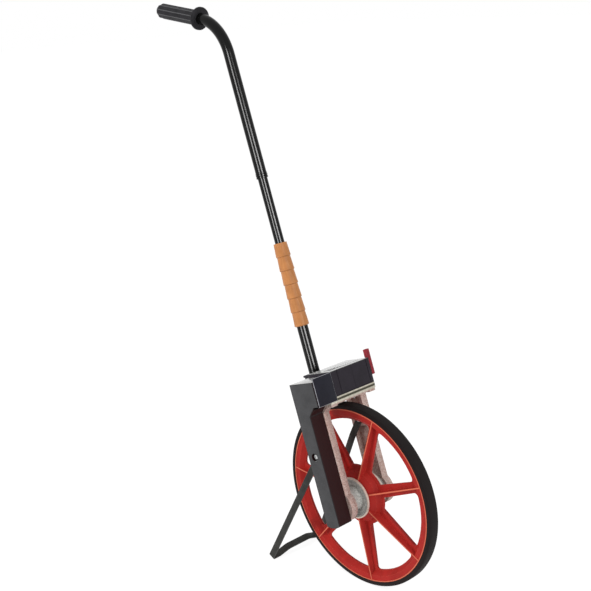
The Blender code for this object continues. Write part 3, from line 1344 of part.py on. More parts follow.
def grip_mesh():
    """A fluted grip with a flange at its root and a round closed end."""
    bore = UPPER_TUBE_RADIUS + TOUCH
    round_start = GRIP_LENGTH - GRIP_RADIUS
    end = [(GRIP_RADIUS * math.cos(turn), round_start + GRIP_RADIUS * math.sin(turn))
           for turn in [math.radians(a) for a in (0, 30, 60, 90)]]
    floor = GRIP_LENGTH - GRIP_END_WALL
    profile = [(bore, 0), (GRIP_FLANGE_RADIUS, 0), (GRIP_FLANGE_RADIUS, GRIP_FLANGE),
               (GRIP_RADIUS, GRIP_FLANGE)]
    profile += end[:-1] + [(0, GRIP_LENGTH), (0, floor), (bore, floor)]
    mesh = lathe("grip", profile, 2 * GRIP_FLUTES)
    for corner in mesh.vertices:
        radius = math.hypot(corner.co.x, corner.co.y)
        turn = math.atan2(corner.co.y, corner.co.x) / math.pi * GRIP_FLUTES
        if abs(radius - GRIP_RADIUS) < TOUCH and round(turn) % 2:
            shrink = (radius - GRIP_FLUTE_DEPTH) / radius
            corner.co.x *= shrink
            corner.co.y *= shrink
    return mesh


def settle(roots):
    """Move the whole object so that its box stands on the ground, centred on the origin."""
    bpy.context.view_layer.update()
    graph = bpy.context.evaluated_depsgraph_get()
    low = Vector((math.inf,) * 3)
    high = -low
    for item in bpy.data.objects:
        if item.type != "MESH" or item.hide_render:
            continue
        mesh = item.evaluated_get(graph).to_mesh()
        for corner in mesh.vertices:
            place = item.matrix_world @ corner.co
            low = Vector(map(min, low, place))
            high = Vector(map(max, high, place))
    shift = Vector((-(low.x + high.x) / 2, -(low.y + high.y) / 2, -low.z))
    for root in roots:
        root.location += shift
    bpy.context.view_layer.update()


def main():
    clear_scene()
    hub = (0, 0, TYRE_RADIUS)
    wheel_axis = add_empty("wheel_axis", None, hub)
    fork = add_empty("fork_frame", None, hub, -FORK_LEAN)
    build_wheel(wheel_axis)
    build_spacers(wheel_axis)
    build_axle(wheel_axis)
    build_driving_pulley(wheel_axis)

    build_leg(fork, -1, "near")
    build_leg(fork, 1, "far")
    build_bridge(fork)
    build_bearings(fork)
    build_belt(fork)
    build_cover(fork)

    input_axis = add_empty("input_axis", fork, (INPUT_SHAFT_FORWARD, 0, INPUT_SHAFT_UP))
    build_input_shaft(input_axis)
    build_counter_housing(fork)
    build_counter_frame(fork)
    shaft_axis = add_empty("counter_shaft_axis", fork, shaft_place())
    build_counter_shaft(shaft_axis)
    drum_axes = [shaft_axis] + [add_empty("drum_axis_%d" % number, fork, shaft_place())
                                for number in range(2, DRUMS + 1)]
    build_drums(drum_axes)
    build_pinions([add_empty("pinion_axis_%d" % number, fork, pinion_place())
                   for number in range(1, DRUMS)])
    build_lever(fork, add_empty("lever_axis", fork, shaft_place()))

    stand_place = (STAND_PIVOT_FORWARD, 0, STAND_PIVOT_UP)
    build_stand(fork, add_empty("stand_axis", fork, stand_place, FORK_LEAN + STAND_LEAN))
    build_socket(fork)
    build_lower_tube(fork)
    build_sleeve(add_empty("sleeve_slide", fork, (-HANDLE_BACK, 0, 0)))
    build_upper_handle(add_empty("handle_slide", fork, (-HANDLE_BACK, 0, 0)))
    settle([wheel_axis, fork])


main()
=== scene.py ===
"""Measuring wheel: the finished looks of its wheel, fork, counter, stand and telescopic handle.

Metres, +Z up, +X the way the wheel is pushed, -Y the side of the drive cover. The fork frame is the
leaning frame that the fork, counter and handle share: its origin is on the axle, its Z runs up along
the fork and its X points forward.
"""
import json
import math

import bmesh
import bpy
from bpy.props import FloatProperty, FloatVectorProperty, PointerProperty
from mathutils import Matrix, Vector

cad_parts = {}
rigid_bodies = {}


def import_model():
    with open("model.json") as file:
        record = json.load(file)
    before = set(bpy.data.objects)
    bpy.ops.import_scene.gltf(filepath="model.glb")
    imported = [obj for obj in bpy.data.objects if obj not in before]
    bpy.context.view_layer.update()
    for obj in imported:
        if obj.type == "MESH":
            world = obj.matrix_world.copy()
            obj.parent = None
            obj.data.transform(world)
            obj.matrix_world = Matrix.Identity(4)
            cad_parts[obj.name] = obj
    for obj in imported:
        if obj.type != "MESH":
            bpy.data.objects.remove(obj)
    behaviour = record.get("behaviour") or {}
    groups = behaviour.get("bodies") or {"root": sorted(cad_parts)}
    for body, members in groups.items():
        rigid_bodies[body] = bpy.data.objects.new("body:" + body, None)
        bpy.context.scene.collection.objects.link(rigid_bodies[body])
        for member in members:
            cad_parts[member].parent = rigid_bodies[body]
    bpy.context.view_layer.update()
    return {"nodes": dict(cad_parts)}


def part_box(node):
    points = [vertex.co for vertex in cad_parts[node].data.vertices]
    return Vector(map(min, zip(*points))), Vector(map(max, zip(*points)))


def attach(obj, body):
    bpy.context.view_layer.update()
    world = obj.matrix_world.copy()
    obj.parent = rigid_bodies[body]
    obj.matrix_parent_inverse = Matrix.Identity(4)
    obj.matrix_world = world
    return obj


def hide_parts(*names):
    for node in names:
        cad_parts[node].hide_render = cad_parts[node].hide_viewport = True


bl_info = {
    "name": "Measuring wheel",
    "version": (1, 0, 0),
    "blender": (4, 5, 0),
    "location": "3D View > Sidebar > Measuring wheel",
    "description": "Builds the finished pieces of a measuring wheel round its packed parts",
    "category": "Object",
}

for leftover in list(bpy.data.objects):
    bpy.data.objects.remove(leftover, do_unlink=True)
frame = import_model()
AXLE = sum(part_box("wheel"), Vector()) / 2
FORK_LEAN = math.radians(17.4)
WHEEL_FRAME = Matrix.Translation(AXLE)
FORK_FRAME = WHEEL_FRAME @ Matrix.Rotation(-FORK_LEAN, 4, "Y")
LATERAL = Matrix.Rotation(-math.pi / 2, 4, "X")
FULL_TURN = 2 * math.pi
TOUCH = 0.0003
OVERRUN = 0.004

# Road wheel and tyre
TYRE_RADIUS = 1.0 / (2 * math.pi)
TYRE_HALF = 0.010
TYRE_EDGE = 0.0024
TYRE_CROWN = 0.3
TYRE_STEPS = 192
RIM_RADIUS = 0.1508
RIM_HALF = 0.010
RIM_CREASE = 0.1405
RIM_LIP = 0.1488
RIM_LAND_DEPTH = 0.0008
RIM_WALL_FOOT = 0.1332
WEB_HALF = 0.0018
HUB_FOOT = 0.0473
HUB_SHOULDER = 0.0436
HUB_SHOULDER_HALF = 0.0095
HUB_BOSS_SIDE = 0.0140
HUB_BOSS_FOOT = 0.0345
HUB_BOSS = 0.032
HUB_HALF = 0.0165
AXLE_RADIUS = 0.005
SPOKES = 7
SPOKE_PHASE = math.radians(22.6)
SPOKE_PITCH = FULL_TURN / SPOKES
RIB_HALF_AT_HUB = 0.0012
RIB_HALF_AT_RIM = 0.0010
OPENING_INNER = 0.0525
OPENING_OUTER = 0.1325
SPOKE_HALF_AT_HUB = 0.0108
SPOKE_HALF_AT_RIM = 0.0089
OPENING_FILLET = 0.0065
OPENING_HUB_FILLET = 0.0030
WHEEL_STEPS = 168

# Fork
LEG_INNER = 0.038
LEG_OUTER = 0.051
LEG_REAR = 0.0184
LEG_FRONT = 0.0193
LEG_TOP = 0.163
LEG_GUSSET_REACH = 0.0110
LEG_GUSSET_HEIGHT = 0.009
BRIDGE_EDGE_LOW = 0.1656
FAR_GUSSET_REACH = 0.0020
FAR_GUSSET_HEIGHT = 0.0040
LEG_END_RADIUS = 0.027
LEG_END_DROP = 0.004
CHANNEL_DEPTH = 0.008
CHANNEL_MARGIN = 0.0042
CHANNEL_LOW = 0.034
PIVOT_PAD_RADIUS = 0.013
LEG_BOSS_RADIUS = 0.020
SHIELD_RADIUS = 0.0353
SHIELD_INNER = 0.0174
SHIELD_FACE = 0.0195
SHIELD_RIM = 0.0207
GROOVE_MARGIN = 0.0013
GROOVE_DEPTH = 0.0014
SHIELD_FLOOR = 0.0331
SHIELD_GUSSET_TURN = math.radians(22)
SHIELD_STEPS = 96
BEARING_RADIUS = 0.013
BEARING_END = 0.0262

# Stand
STAND_PIVOT = (0.004, 0.120)
STAND_LEAN = math.radians(27.2)
STRAP_WIDTH = 0.0125
STRAP_THICKNESS = 0.0024
STAND_FOOT_HALF = 0.0619
STAND_STRAIGHT = 0.042
STAND_EYE = 0.0065
STAND_PAD = 0.017
STAND_ARCH = 0.0085
STAND_ARCH_RUN = 0.020
STAND_BENDS = (0, 0.032, 0.0035, 0.014, 0.016)

# Counter and its drive cover
WEB_LOW = 0.1712
LIP_LOW = 0.1749
LIP_FRONT = 0.0468
LIP_RECESS = 0.0005
COUNTER_LOW = 0.1711
COUNTER_HIGH = 0.2189
COUNTER_REAR = -0.0102
COUNTER_FRONT = 0.0453
COUNTER_NEAR = -0.0372
COUNTER_FAR = 0.0530
COUNTER_WALL = 0.0022
COUNTER_SHAFT = (0.0245, 0.197)
# Each seam's place across, half width, depth and distance below the top
COUNTER_SEAMS = ((COUNTER_NEAR + 0.0145, 0.0007, 0.0007, -OVERRUN),
                 (COUNTER_FAR - 0.0078, 0.0007, 0.0007, -OVERRUN),
                 (COUNTER_NEAR + 0.0475, 0.00025, 0.0003, 0.0012))
WINDOW_HALF_WIDTH = 0.009
WINDOW_HALF_LENGTH = 0.033
WINDOW_THICKNESS = 0.0015
WINDOW_LAP = 0.0018
DRUMS = 5
DRUM_RADIUS = 0.0165
DRUM_WIDTH = 0.0116
DRUM_BORE = 0.0028
DRUM_HUB = 0.006
DRUM_RIM = 0.0022
DRUM_WEB = 0.003
DIGIT_SIZE = 0.0105
DIGIT_LIFT = 0.00008
DIGIT_EDGE_MOST = 0.0012
DIGIT_PITCH = math.radians(36)
COVER_FACE = 0.0795
COVER_WALL = 0.0020
COVER_REAR = 0.0118
COVER_FRONT = 0.0188
COVER_BLOCK_FRONT = 0.0448
COVER_LEDGE_FRONT = 0.0335
COVER_STEP_LOW = 0.1578
COVER_STEP_HIGH = 0.1716
COVER_TOP = 0.2132
COVER_BOTTOM = 0.0275
COVER_BOTTOM_RADIUS = 0.036
COVER_SCREW_UP = 0.090
COVER_COUNTERBORE = 0.0068
COVER_COUNTERBORE_DEPTH = 0.0045

# Reset lever
LEVER_NEAR = 0.0533
LEVER_THICKNESS = 0.0058
LEVER_HUB = 0.0075
LEVER_FRONT = 0.0456
LEVER_ARM = 0.0072
LEVER_LOW = 0.1895
LEVER_HIGH = 0.2328
LEVER_ARM_TOP = 0.206
LEVER_TAB_REACH = 0.0018
LEVER_TAB_HEIGHT = 0.0134
LEVER_CORNER = 0.0009
LEVER_EDGE = 0.0006
LEVER_HOLE = 0.0028

# Handle
HANDLE_BACK = 0.035
LOWER_TUBE_RADIUS = 0.0095
LOWER_TUBE_LOW = 0.1726
LOWER_TUBE_TOP = 0.405
MIDDLE_TUBE_RADIUS = 0.0082
MIDDLE_TUBE_LOW = 0.250
MIDDLE_TUBE_TOP = 0.602
TUBE_WALL = 0.0010
UPPER_TUBE_RADIUS = 0.0094
UPPER_TUBE_LOW = 0.5620
COLLAR_RADIUS = 0.0101
COLLAR_LENGTH = 0.0090
COLLAR_GROOVE_DEPTH = 0.0007
# Heights of each groove's upper edges and floor, from the collar's foot
COLLAR_GROOVES = ((0.0022, 0.0028, 0.0034, 0.0040), (0.0060, 0.0066, 0.0070, 0.0076))
BEND_START = 0.7655
BEND_RADIUS = 0.0855
BEND_TURN = math.radians(64.4)
BEND_STEPS = 36
GRIP_LENGTH = 0.1158
GRIP_RADIUS = 0.01325
GRIP_FLANGE_RADIUS = 0.01935
GRIP_FLANGE = 0.0045
GRIP_END_WALL = 0.006
GRIP_PANELS = 10
GRIP_PANEL_DEPTH = 0.0008
GRIP_RIDGE = 0.10
GRIP_RIDGE_SLOPE = 0.16
GRIP_LIP = 0.0008
SLEEVE_LOW = 0.2965
SLEEVE_TEETH = 6
SLEEVE_TOOTH = 0.0240
SLEEVE_ROOT = 0.0114
SLEEVE_TIP = 0.0129
SLEEVE_STEP = 0.0016
ROUND_STEPS = 64

# Rounding of the small pieces
NUT_EDGE = 0.0004
SCREW_EDGE = 0.00012
PANE_EDGE = 0.0003
SHELF_EDGE = 0.0002
DRUM_EDGE = 0.0003

# Screw heads, as shares of their radius and height
HEAD_WALL = 0.45
HEAD_DOME = ((0.93, 0.72), (0.72, 0.92))
HEAD_FLAT = 0.4
CROSS_REACH = 0.55
CROSS_HALF = 0.09
CROSS_DEPTH = 0.55
CROSS_TURN = 0.4

# Studio
CAMERA_TURN = math.radians(47.82)
CAMERA_LIFT = math.radians(15.83)
CAMERA_ROLL = math.radians(-3.44)
CAMERA_DISTANCE = 1.8322
CAMERA_TARGET = AXLE + Vector((-0.1341, 0, 0.323245))
LAMP_AIM = Vector((0.05, 0, 0.45))
LAMP_SIZE = (0.55, 2.4)
KEY_PLACE = (-1.05, -2.45, 0.95)
FRONT_PLACE = (2.52, -0.55, 1.15)
STREAK_HEIGHT = 1.9
# Each streak lamp's name, place and width
STREAKS = (("left_streak_lamp", (0.74, -2.55, 0.95), 0.75), ("right_streak_lamp", (2.56, -0.45, 0.95), 1.05))


def shaded(colour, share):
    """A colour made darker or paler."""
    return tuple(part * share for part in colour)


# Shader sums
class Value:
    """A number that changes over a surface; sums on it add Math nodes."""

    def __init__(self, surface, socket):
        self.surface = surface
        self.socket = socket

    def sum(self, operation, *others, clamp=False):
        node = self.surface.node("Math", {"operation": operation, "use_clamp": clamp})
        for place, other in enumerate((self,) + others):
            self.surface.feed(node.inputs[place], other)
        return Value(self.surface, node.outputs[0])

    def __add__(self, other):
        return self.sum("ADD", other)

    __radd__ = __add__

    def __mul__(self, other):
        return self.sum("MULTIPLY", other)

    __rmul__ = __mul__

    def __sub__(self, other):
        return self.sum("SUBTRACT", other)

    def __rsub__(self, other):
        return (self * -1.0) + other

    def __pow__(self, other):
        return self.sum("POWER", other)

    def clamped(self):
        return self.sum("ADD", 0.0, clamp=True)

    def over(self, low, high):
        """0 below low, 1 above high, and a smooth rise between."""
        node = self.surface.node("MapRange", {"interpolation_type": "SMOOTHSTEP"},
                                 {"Value": self, "From Min": low, "From Max": high})
        return Value(self.surface, node.outputs["Result"])


class Surface:
    """One material, with its nodes added by name."""

    def __init__(self, name):
        self.made = bpy.data.materials.new(name)
        self.made.use_nodes = True
        self.tree = self.made.node_tree
        self.shader = self.tree.nodes["Principled BSDF"]
        self.place = self.node("TexCoord").outputs["Object"]

    def feed(self, socket, value):
        if isinstance(value, Value):
            value = value.socket
        if isinstance(value, bpy.types.NodeSocket):
            self.tree.links.new(value, socket)
        elif socket.type == "RGBA" and len(value) == 3:
            socket.default_value = (*value, 1.0)
        else:
            socket.default_value = value

    def node(self, kind, settings=None, inputs=None):
        node = self.tree.nodes.new("ShaderNode" + kind)
        for name, value in (settings or {}).items():
            setattr(node, name, value)
        for name, value in (inputs or {}).items():
            self.feed(node.inputs[name], value)
        return node

    def stretched(self, scale, turn=(0, 0, 0)):
        """The piece's own coordinates, turned and then stretched."""
        node = self.node("Mapping", {"vector_type": "TEXTURE"}, {"Vector": self.place, "Rotation": turn})
        second = self.node("Mapping", None, {"Vector": node.outputs[0], "Scale": scale})
        return second.outputs[0]

    def noise(self, scale, detail=3.0, roughness=0.55, place=None):
        node = self.node("TexNoise", None, {"Vector": place or self.place, "Scale": scale, "Detail": detail,
                                            "Roughness": roughness})
        return Value(self, node.outputs["Fac"])

    def cells(self, scale):
        node = self.node("TexVoronoi", {"feature": "F1"}, {"Vector": self.place, "Scale": scale})
        return Value(self, node.outputs["Distance"])

    def attribute(self, name):
        return Value(self, self.node("Attribute", {"attribute_name": name}).outputs["Fac"])

    def edges(self, radius):
        """1 along the outer and inner edges of the form, 0 on its flats."""
        rounded = self.node("Bevel", {"samples": 6}, {"Radius": radius})
        flat = self.node("NewGeometry")
        turn = self.node("VectorMath", {"operation": "DOT_PRODUCT"})
        self.feed(turn.inputs[0], rounded.outputs["Normal"])
        self.feed(turn.inputs[1], flat.outputs["Normal"])
        return (1.0 - Value(self, turn.outputs["Value"])).over(0.02, 0.16)

    def blend(self, share, first, second):
        """Two colours mixed by a share."""
        node = self.node("Mix", {"data_type": "RGBA", "blend_type": "MIX"})
        self.feed(node.inputs["Factor"], share)
        self.feed(node.inputs[6], first)
        self.feed(node.inputs[7], second)
        return node.outputs[2]

    def mottled(self, share, colour, factor):
        """A colour mixed by a share with a darker or paler form of itself."""
        return self.blend(share, colour, shaded(colour, factor))

    def bump(self, height, depth, strength=1.0, under=None):
        node = self.node("Bump", None, {"Height": height, "Distance": depth, "Strength": strength})
        if under:
            self.feed(node.inputs["Normal"], under)
        return node.outputs["Normal"]

    def finish(self, **inputs):
        for name, value in inputs.items():
            self.feed(self.shader.inputs[name.replace("_", " ").title().replace("Ior", "IOR")], value)
        return self.made


def red_plastic(look):
    """Injection moulded red plastic, paler where its edges catch the light."""
    surface = Surface("red_plastic_moulded")
    clouds = surface.noise(38.0, 4.0)
    fine = surface.noise(900.0, 2.0)
    edge_wear_and_painted_light = surface.attribute("edge_wear_and_painted_light")
    base = surface.mottled(clouds.over(0.3, 0.7), look.wheel_red, 0.80)
    # The marked edges, lip lands and rib tops take a paler red: a painted highlight.
    tone = surface.blend((edge_wear_and_painted_light * (0.8 + fine * 0.4)).clamped(), base, look.wheel_edge)
    rough = 0.48 + clouds * 0.14 + fine * 0.06
    return surface.finish(base_color=tone, roughness=rough, normal=surface.bump(fine, 0.00012, 0.35),
                          specular_ior_level=0.16)


def tyre_rubber(look):
    """Charcoal rubber with a bloom of dust and fine moulding lines."""
    surface = Surface("tyre_rubber_moulded")
    clouds = surface.noise(30.0, 5.0, 0.65)
    grit = surface.noise(1500.0, 2.0)
    height = Value(surface, surface.node("SeparateXYZ", None, {"Vector": surface.place}).outputs["Z"])
    splashed = (1.0 - height.over(0.02, 0.16)) * grit.over(0.4, 0.6)
    tone = surface.mottled((clouds.over(0.42, 0.75) * 0.5 + splashed).clamped(), look.tyre_charcoal, 2.4)
    return surface.finish(base_color=tone, roughness=0.62 + grit * 0.25, specular_ior_level=0.2,
                          normal=surface.bump(grit, 0.0002, 0.6))


def cast_aluminium(look):
    """Rough sand casting: bright metal, broken by dull warm speckles, with a painted highlight on the shields' rims
    and along the rounded edges.
    """
    surface = Surface("cast_aluminium_rough")
    speckle = surface.noise(430.0, 5.0, 0.75)
    patch = surface.noise(60.0, 3.0)
    grain = surface.noise(800.0, 4.0, 0.7)
    warm = surface.blend(speckle.over(0.42, 0.58), look.casting_speckle, look.casting_metal)
    tone = surface.blend(patch.over(0.4, 0.75) * 0.3, warm, (0.60, 0.40, 0.34))
    grey = surface.blend(speckle.over(0.38, 0.6), (0.32, 0.32, 0.30), (0.62, 0.62, 0.59))
    disc = surface.attribute("disc")
    tone = surface.blend(disc, tone, grey)
    # The shields' rims and the rounded edges are paler: a painted highlight.
    tone = surface.blend(surface.attribute("rim") * (0.6 + patch * 0.6), tone, (0.76, 0.67, 0.58))
    tone = surface.blend(surface.attribute("edge_wear_and_painted_light") * 0.55, tone, (0.85, 0.83, 0.78))
    rough = 0.42 + speckle * 0.25 + disc * 0.25
    normal = surface.bump(grain, 0.0007, 0.75, surface.bump(patch, 0.0010, 0.4))
    return surface.finish(base_color=tone, roughness=rough, metallic=0.55 + patch * 0.2 - disc * 0.35,
                          normal=normal)


def zinc_steel():
    """Zinc plated steel with a faint milky bloom."""
    surface = Surface("zinc_steel")
    bloom = surface.noise(120.0, 4.0)
    brushed = surface.noise(700.0, 2.0, 0.5)
    tone = surface.blend(bloom.over(0.35, 0.7), (0.66, 0.67, 0.68), (0.50, 0.51, 0.50))
    return surface.finish(base_color=tone, metallic=1.0, roughness=0.24 + bloom * 0.18 + brushed * 0.05,
                          normal=surface.bump(brushed, 0.00008, 0.3))


def shelf_steel():
    """Aged plated steel with a warm bloom, painted dark as shade in the recess of its front."""
    surface = Surface("shelf_steel")
    bloom = surface.noise(120.0, 4.0)
    brushed = surface.noise(700.0, 2.0, 0.5)
    front = surface.attribute("front")
    tone = surface.blend(bloom.over(0.35, 0.7), (0.60, 0.56, 0.47), (0.46, 0.43, 0.35))
    # Painted shade in the front's recess.
    tone = surface.blend(front, tone, (0.060, 0.056, 0.036))
    return surface.finish(base_color=tone, metallic=0.25 - front * 0.25, specular_ior_level=0.25,
                          roughness=0.34 + bloom * 0.18 + brushed * 0.05,
                          normal=surface.bump(brushed, 0.00008, 0.3))


def stand_steel(look):
    """Dark painted strap steel, rubbed a little along its edges."""
    surface = Surface("stand_steel_painted")
    clouds = surface.noise(70.0, 4.0)
    fine = surface.noise(1100.0, 3.0)
    base = surface.mottled(clouds.over(0.35, 0.7), look.stand_charcoal, 0.7)
    tone = surface.blend(surface.attribute("edge_wear_and_painted_light") * (clouds * 0.8), base, (0.16, 0.16, 0.155))
    return surface.finish(base_color=tone, roughness=0.5 + clouds * 0.18, specular_ior_level=0.2,
                          normal=surface.bump(fine, 0.00015, 0.4))


def cover_plastic(name, colour, edge, front=None):
    """Dark moulded plastic with a fine spark-eroded grain, a given tone on its rounded edges, painted shade on its
    front and a pale painted reflection on its coated top.
    """
    surface = Surface(name)
    grain = surface.cells(1400.0)
    clouds = surface.noise(45.0, 4.0)
    tone = surface.mottled(clouds.over(0.3, 0.75), colour, 0.76)
    speck = surface.noise(600.0, 2.0)
    tone = surface.blend(speck.over(0.55, 0.75) * 0.4, tone, shaded(colour, 1.7))
    if front:
        # The darker front tone is painted shade.
        tone = surface.blend(surface.attribute("front"), tone, surface.mottled(speck, front, 0.6))
    # The rounded edges take the given edge tone: a paler painted highlight on the fascia, counter and socket, a
    # darker tone on the cover.
    tone = surface.blend(surface.attribute("edge_wear_and_painted_light"), tone, edge)
    # The pale top is a painted reflection; the coat on it is gloss.
    top = surface.attribute("top")
    tone = surface.blend(top * (0.55 + clouds * 0.5), tone, (0.62, 0.62, 0.61))
    return surface.finish(base_color=tone, roughness=0.46 + grain * 0.16, coat_weight=top * 0.8,
                          specular_ior_level=0.16, normal=surface.bump(grain, 0.00018, 0.45))


def black_enamel(look):
    """Stoved black enamel, with the slight orange peel of sprayed paint."""
    surface = Surface("black_enamel_stoved")
    peel = surface.noise(260.0, 2.0, 0.4)
    haze = surface.noise(28.0, 4.0)
    tone = surface.mottled(haze.over(0.35, 0.75), look.enamel_black, 1.6)
    return surface.finish(base_color=tone, roughness=0.12 + haze * 0.07 + peel * 0.02,
                          specular_ior_level=0.15, normal=surface.bump(haze, 0.0001, 0.1))


def grip_vinyl(look):
    """Black dipped vinyl, paler on its ridges: a painted sheen."""
    surface = Surface("grip_vinyl_dipped")
    clouds = surface.noise(60.0, 4.0)
    fine = surface.noise(1200.0, 3.0)
    ridge = surface.attribute("edge_wear_and_painted_light")
    base = surface.mottled(clouds.over(0.35, 0.7), look.grip_black, 0.55)
    # The ridges' paler tone is a painted sheen.
    tone = surface.blend(ridge * 0.7, base, (0.12, 0.12, 0.125))
    return surface.finish(base_color=tone, roughness=0.48 + clouds * 0.16, specular_ior_level=0.2,
                          normal=surface.bump(fine, 0.00015, 0.4))


def orange_plastic(look):
    """Tan orange plastic sleeve with paler lengthwise streaks, darker at the lip of each step: painted shade under
    each lip.
    """
    surface = Surface("orange_plastic_sleeve")
    clouds = surface.noise(48.0, 4.0)
    streaks = surface.noise(260.0, 3.0, 0.6, surface.stretched((1.0, 1.0, 0.08), (0, -FORK_LEAN, 0)))
    edge_wear_and_painted_light = surface.attribute("edge_wear_and_painted_light")
    base = surface.mottled(clouds.over(0.3, 0.7), look.sleeve_orange, 0.82)
    tone = surface.blend(streaks.over(0.5, 0.8) * 0.35, base, look.sleeve_pale)
    # Painted shade under each lip.
    tone = surface.blend(edge_wear_and_painted_light * 0.55, tone, shaded(look.sleeve_orange, 0.5))
    return surface.finish(base_color=tone, roughness=0.36 + clouds * 0.12, specular_ior_level=0.3,
                          normal=surface.bump(streaks, 0.0001, 0.3))


def lever_plastic(look):
    """Darker red plastic for the reset lever."""
    surface = Surface("lever_plastic_red")
    clouds = surface.noise(90.0, 3.0)
    fine = surface.noise(1000.0, 2.0)
    base = surface.mottled(clouds.over(0.3, 0.7), look.lever_red, 0.8)
    # Paler along the rounded edges: a painted highlight.
    tone = surface.blend(surface.attribute("edge_wear_and_painted_light") * 0.5, base, (0.55, 0.10, 0.10))
    return surface.finish(base_color=tone, roughness=0.42 + clouds * 0.12, specular_ior_level=0.2,
                          normal=surface.bump(fine, 0.0001, 0.3))


def fine_grained(name, scale, span, tones, roughness, depth, strength):
    """A plain surface of two close tones with a fine grain."""
    surface = Surface(name)
    fine = surface.noise(scale, 3.0)
    return surface.finish(base_color=surface.blend(fine.over(*span), *tones),
                          roughness=roughness[0] + fine * roughness[1], normal=surface.bump(fine, depth, strength))


def belt_rubber():
    """Dark cord rubber for the drive belt."""
    return fine_grained("belt_rubber_round", 1300.0, (0.4, 0.7), ((0.018, 0.018, 0.018), (0.035, 0.034, 0.033)),
                        (0.6, 0.2), 0.0002, 0.5)


def drum_plastic():
    """Ink black drum plastic."""
    return fine_grained("drum_plastic_black", 700.0, (0.4, 0.7), ((0.014, 0.014, 0.015), (0.028, 0.028, 0.030)),
                        (0.42, 0.15), 0.0001, 0.3)


def digit_paint():
    """White marking paint on the drums."""
    return fine_grained("digit_paint_white", 900.0, (0.35, 0.7), ((0.80, 0.80, 0.77), (0.66, 0.66, 0.62)),
                        (0.5, 0.15), 0.0001, 0.3)


def clear_plastic():
    """The counter's clear pane, with a little haze from handling."""
    surface = Surface("clear_plastic_pane")
    haze = surface.noise(80.0, 4.0)
    tone = surface.blend(haze.over(0.3, 0.8), (0.93, 0.95, 0.95), (0.86, 0.89, 0.89))
    return surface.finish(base_color=tone, roughness=0.02 + haze * 0.05, transmission_weight=1.0, ior=1.49)


# Mesh making
def corners_in(parts):
    return [part for part in parts if isinstance(part, bmesh.types.BMVert)]


def faces_in(parts):
    return [part for part in parts if isinstance(part, bmesh.types.BMFace)]


def mirrored(half):
    """The upper half of a profile, followed by its mirror image."""
    return half + [(radius, -height) for radius, height in reversed(half)]


def mesh_from(bm, name):
    mesh = bpy.data.meshes.new(name)
    bm.to_mesh(mesh)
    bm.free()
    return mesh


def linked(name, data):
    """A new object in the scene."""
    item = bpy.data.objects.new(name, data)
    bpy.context.scene.collection.objects.link(item)
    return item


def turned(profile, steps, closed=True):
    """A solid of revolution about Z, from (radius, height) corners."""
    bm = bmesh.new()
    corners = [bm.verts.new((radius, 0, height)) for radius, height in profile]
    ends = corners[1:] + corners[:1] if closed else corners[1:]
    lines = [bm.edges.new(pair) for pair in zip(corners, ends)]
    bmesh.ops.spin(bm, geom=corners + lines, cent=(0, 0, 0), axis=(0, 0, 1), angle=FULL_TURN, steps=steps,
                   use_merge=True)
    bmesh.ops.remove_doubles(bm, verts=bm.verts, dist=0.000001)
    bmesh.ops.recalc_face_normals(bm, faces=bm.faces)
    return bm


def drawn(start, moves, steps=12):
    """A flat face in XZ. A move is a corner (x, z), or (x, z, turn) to swing round that centre."""
    bm = bmesh.new()
    first = last = bm.verts.new((start[0], 0, start[1]))
    for x, z, *turn in moves:
        if turn:
            swung = bmesh.ops.spin(bm, geom=[last], cent=(x, 0, z), axis=(0, -1, 0), angle=turn[0],
                                   steps=steps)
            last = corners_in(swung["geom_last"])[0]
        else:
            ahead = bm.verts.new((x, 0, z))
            bm.edges.new((last, ahead))
            last = ahead
    if (last.co - first.co).length > TOUCH:
        bm.edges.new((last, first))
    bmesh.ops.remove_doubles(bm, verts=bm.verts, dist=TOUCH / 10)
    bmesh.ops.contextual_create(bm, geom=list(bm.edges))
    return bm


def round_corner(bm, corner, radius, segments):
    """Rounds one corner of a flat face or of a line."""
    sides = [edge.other_vert(corner).co - corner.co for edge in corner.link_edges]
    half = sides[0].angle(sides[1]) / 2
    bmesh.ops.bevel(bm, geom=[corner], offset=radius / math.tan(half), offset_type="OFFSET", affect="VERTICES",
                    segments=segments, profile=0.5, material=-1)


def round_corners(bm, places, radius, segments=6):
    """Rounds the corners of a flat face that lie at these (x, z) places."""
    for x, z in places:
        corner = min(bm.verts, key=lambda item: (item.co - Vector((x, item.co.y, z))).length)
        round_corner(bm, corner, radius, segments)
    return bm


def deepened(bm, near, far):
    """Gives a flat face in XZ its depth along Y."""
    bmesh.ops.translate(bm, verts=bm.verts, vec=(0, near, 0))
    grown = bmesh.ops.extrude_face_region(bm, geom=list(bm.faces))
    bmesh.ops.translate(bm, verts=corners_in(grown["geom"]), vec=(0, far - near, 0))
    bmesh.ops.recalc_face_normals(bm, faces=bm.faces)
    return bm


def block(forward, side, up):
    """A box between pairs of places along X, Y and Z."""
    bm = bmesh.new()
    spans = (forward, side, up)
    size = [span[1] - span[0] for span in spans]
    middle = Vector([(span[0] + span[1]) / 2 for span in spans])
    bmesh.ops.create_cube(bm, size=1, matrix=Matrix.Translation(middle) @ Matrix.Diagonal((*size, 1)))
    return bm


def rod(radius, low, high, steps=ROUND_STEPS):
    """A plain cylinder along Z."""
    bm = bmesh.new()
    bmesh.ops.create_cone(bm, cap_ends=True, segments=steps, radius1=radius, radius2=radius, depth=high - low,
                          matrix=Matrix.Translation((0, 0, (low + high) / 2)))
    return bm


def placed(bm, place):
    bmesh.ops.transform(bm, matrix=place, verts=bm.verts)
    return bm


def gathered(parts):
    """Several meshes as one."""
    whole = bmesh.new()
    for part in parts:
        mesh = mesh_from(part, "part")
        whole.from_mesh(mesh)
        bpy.data.meshes.remove(mesh)
    return whole


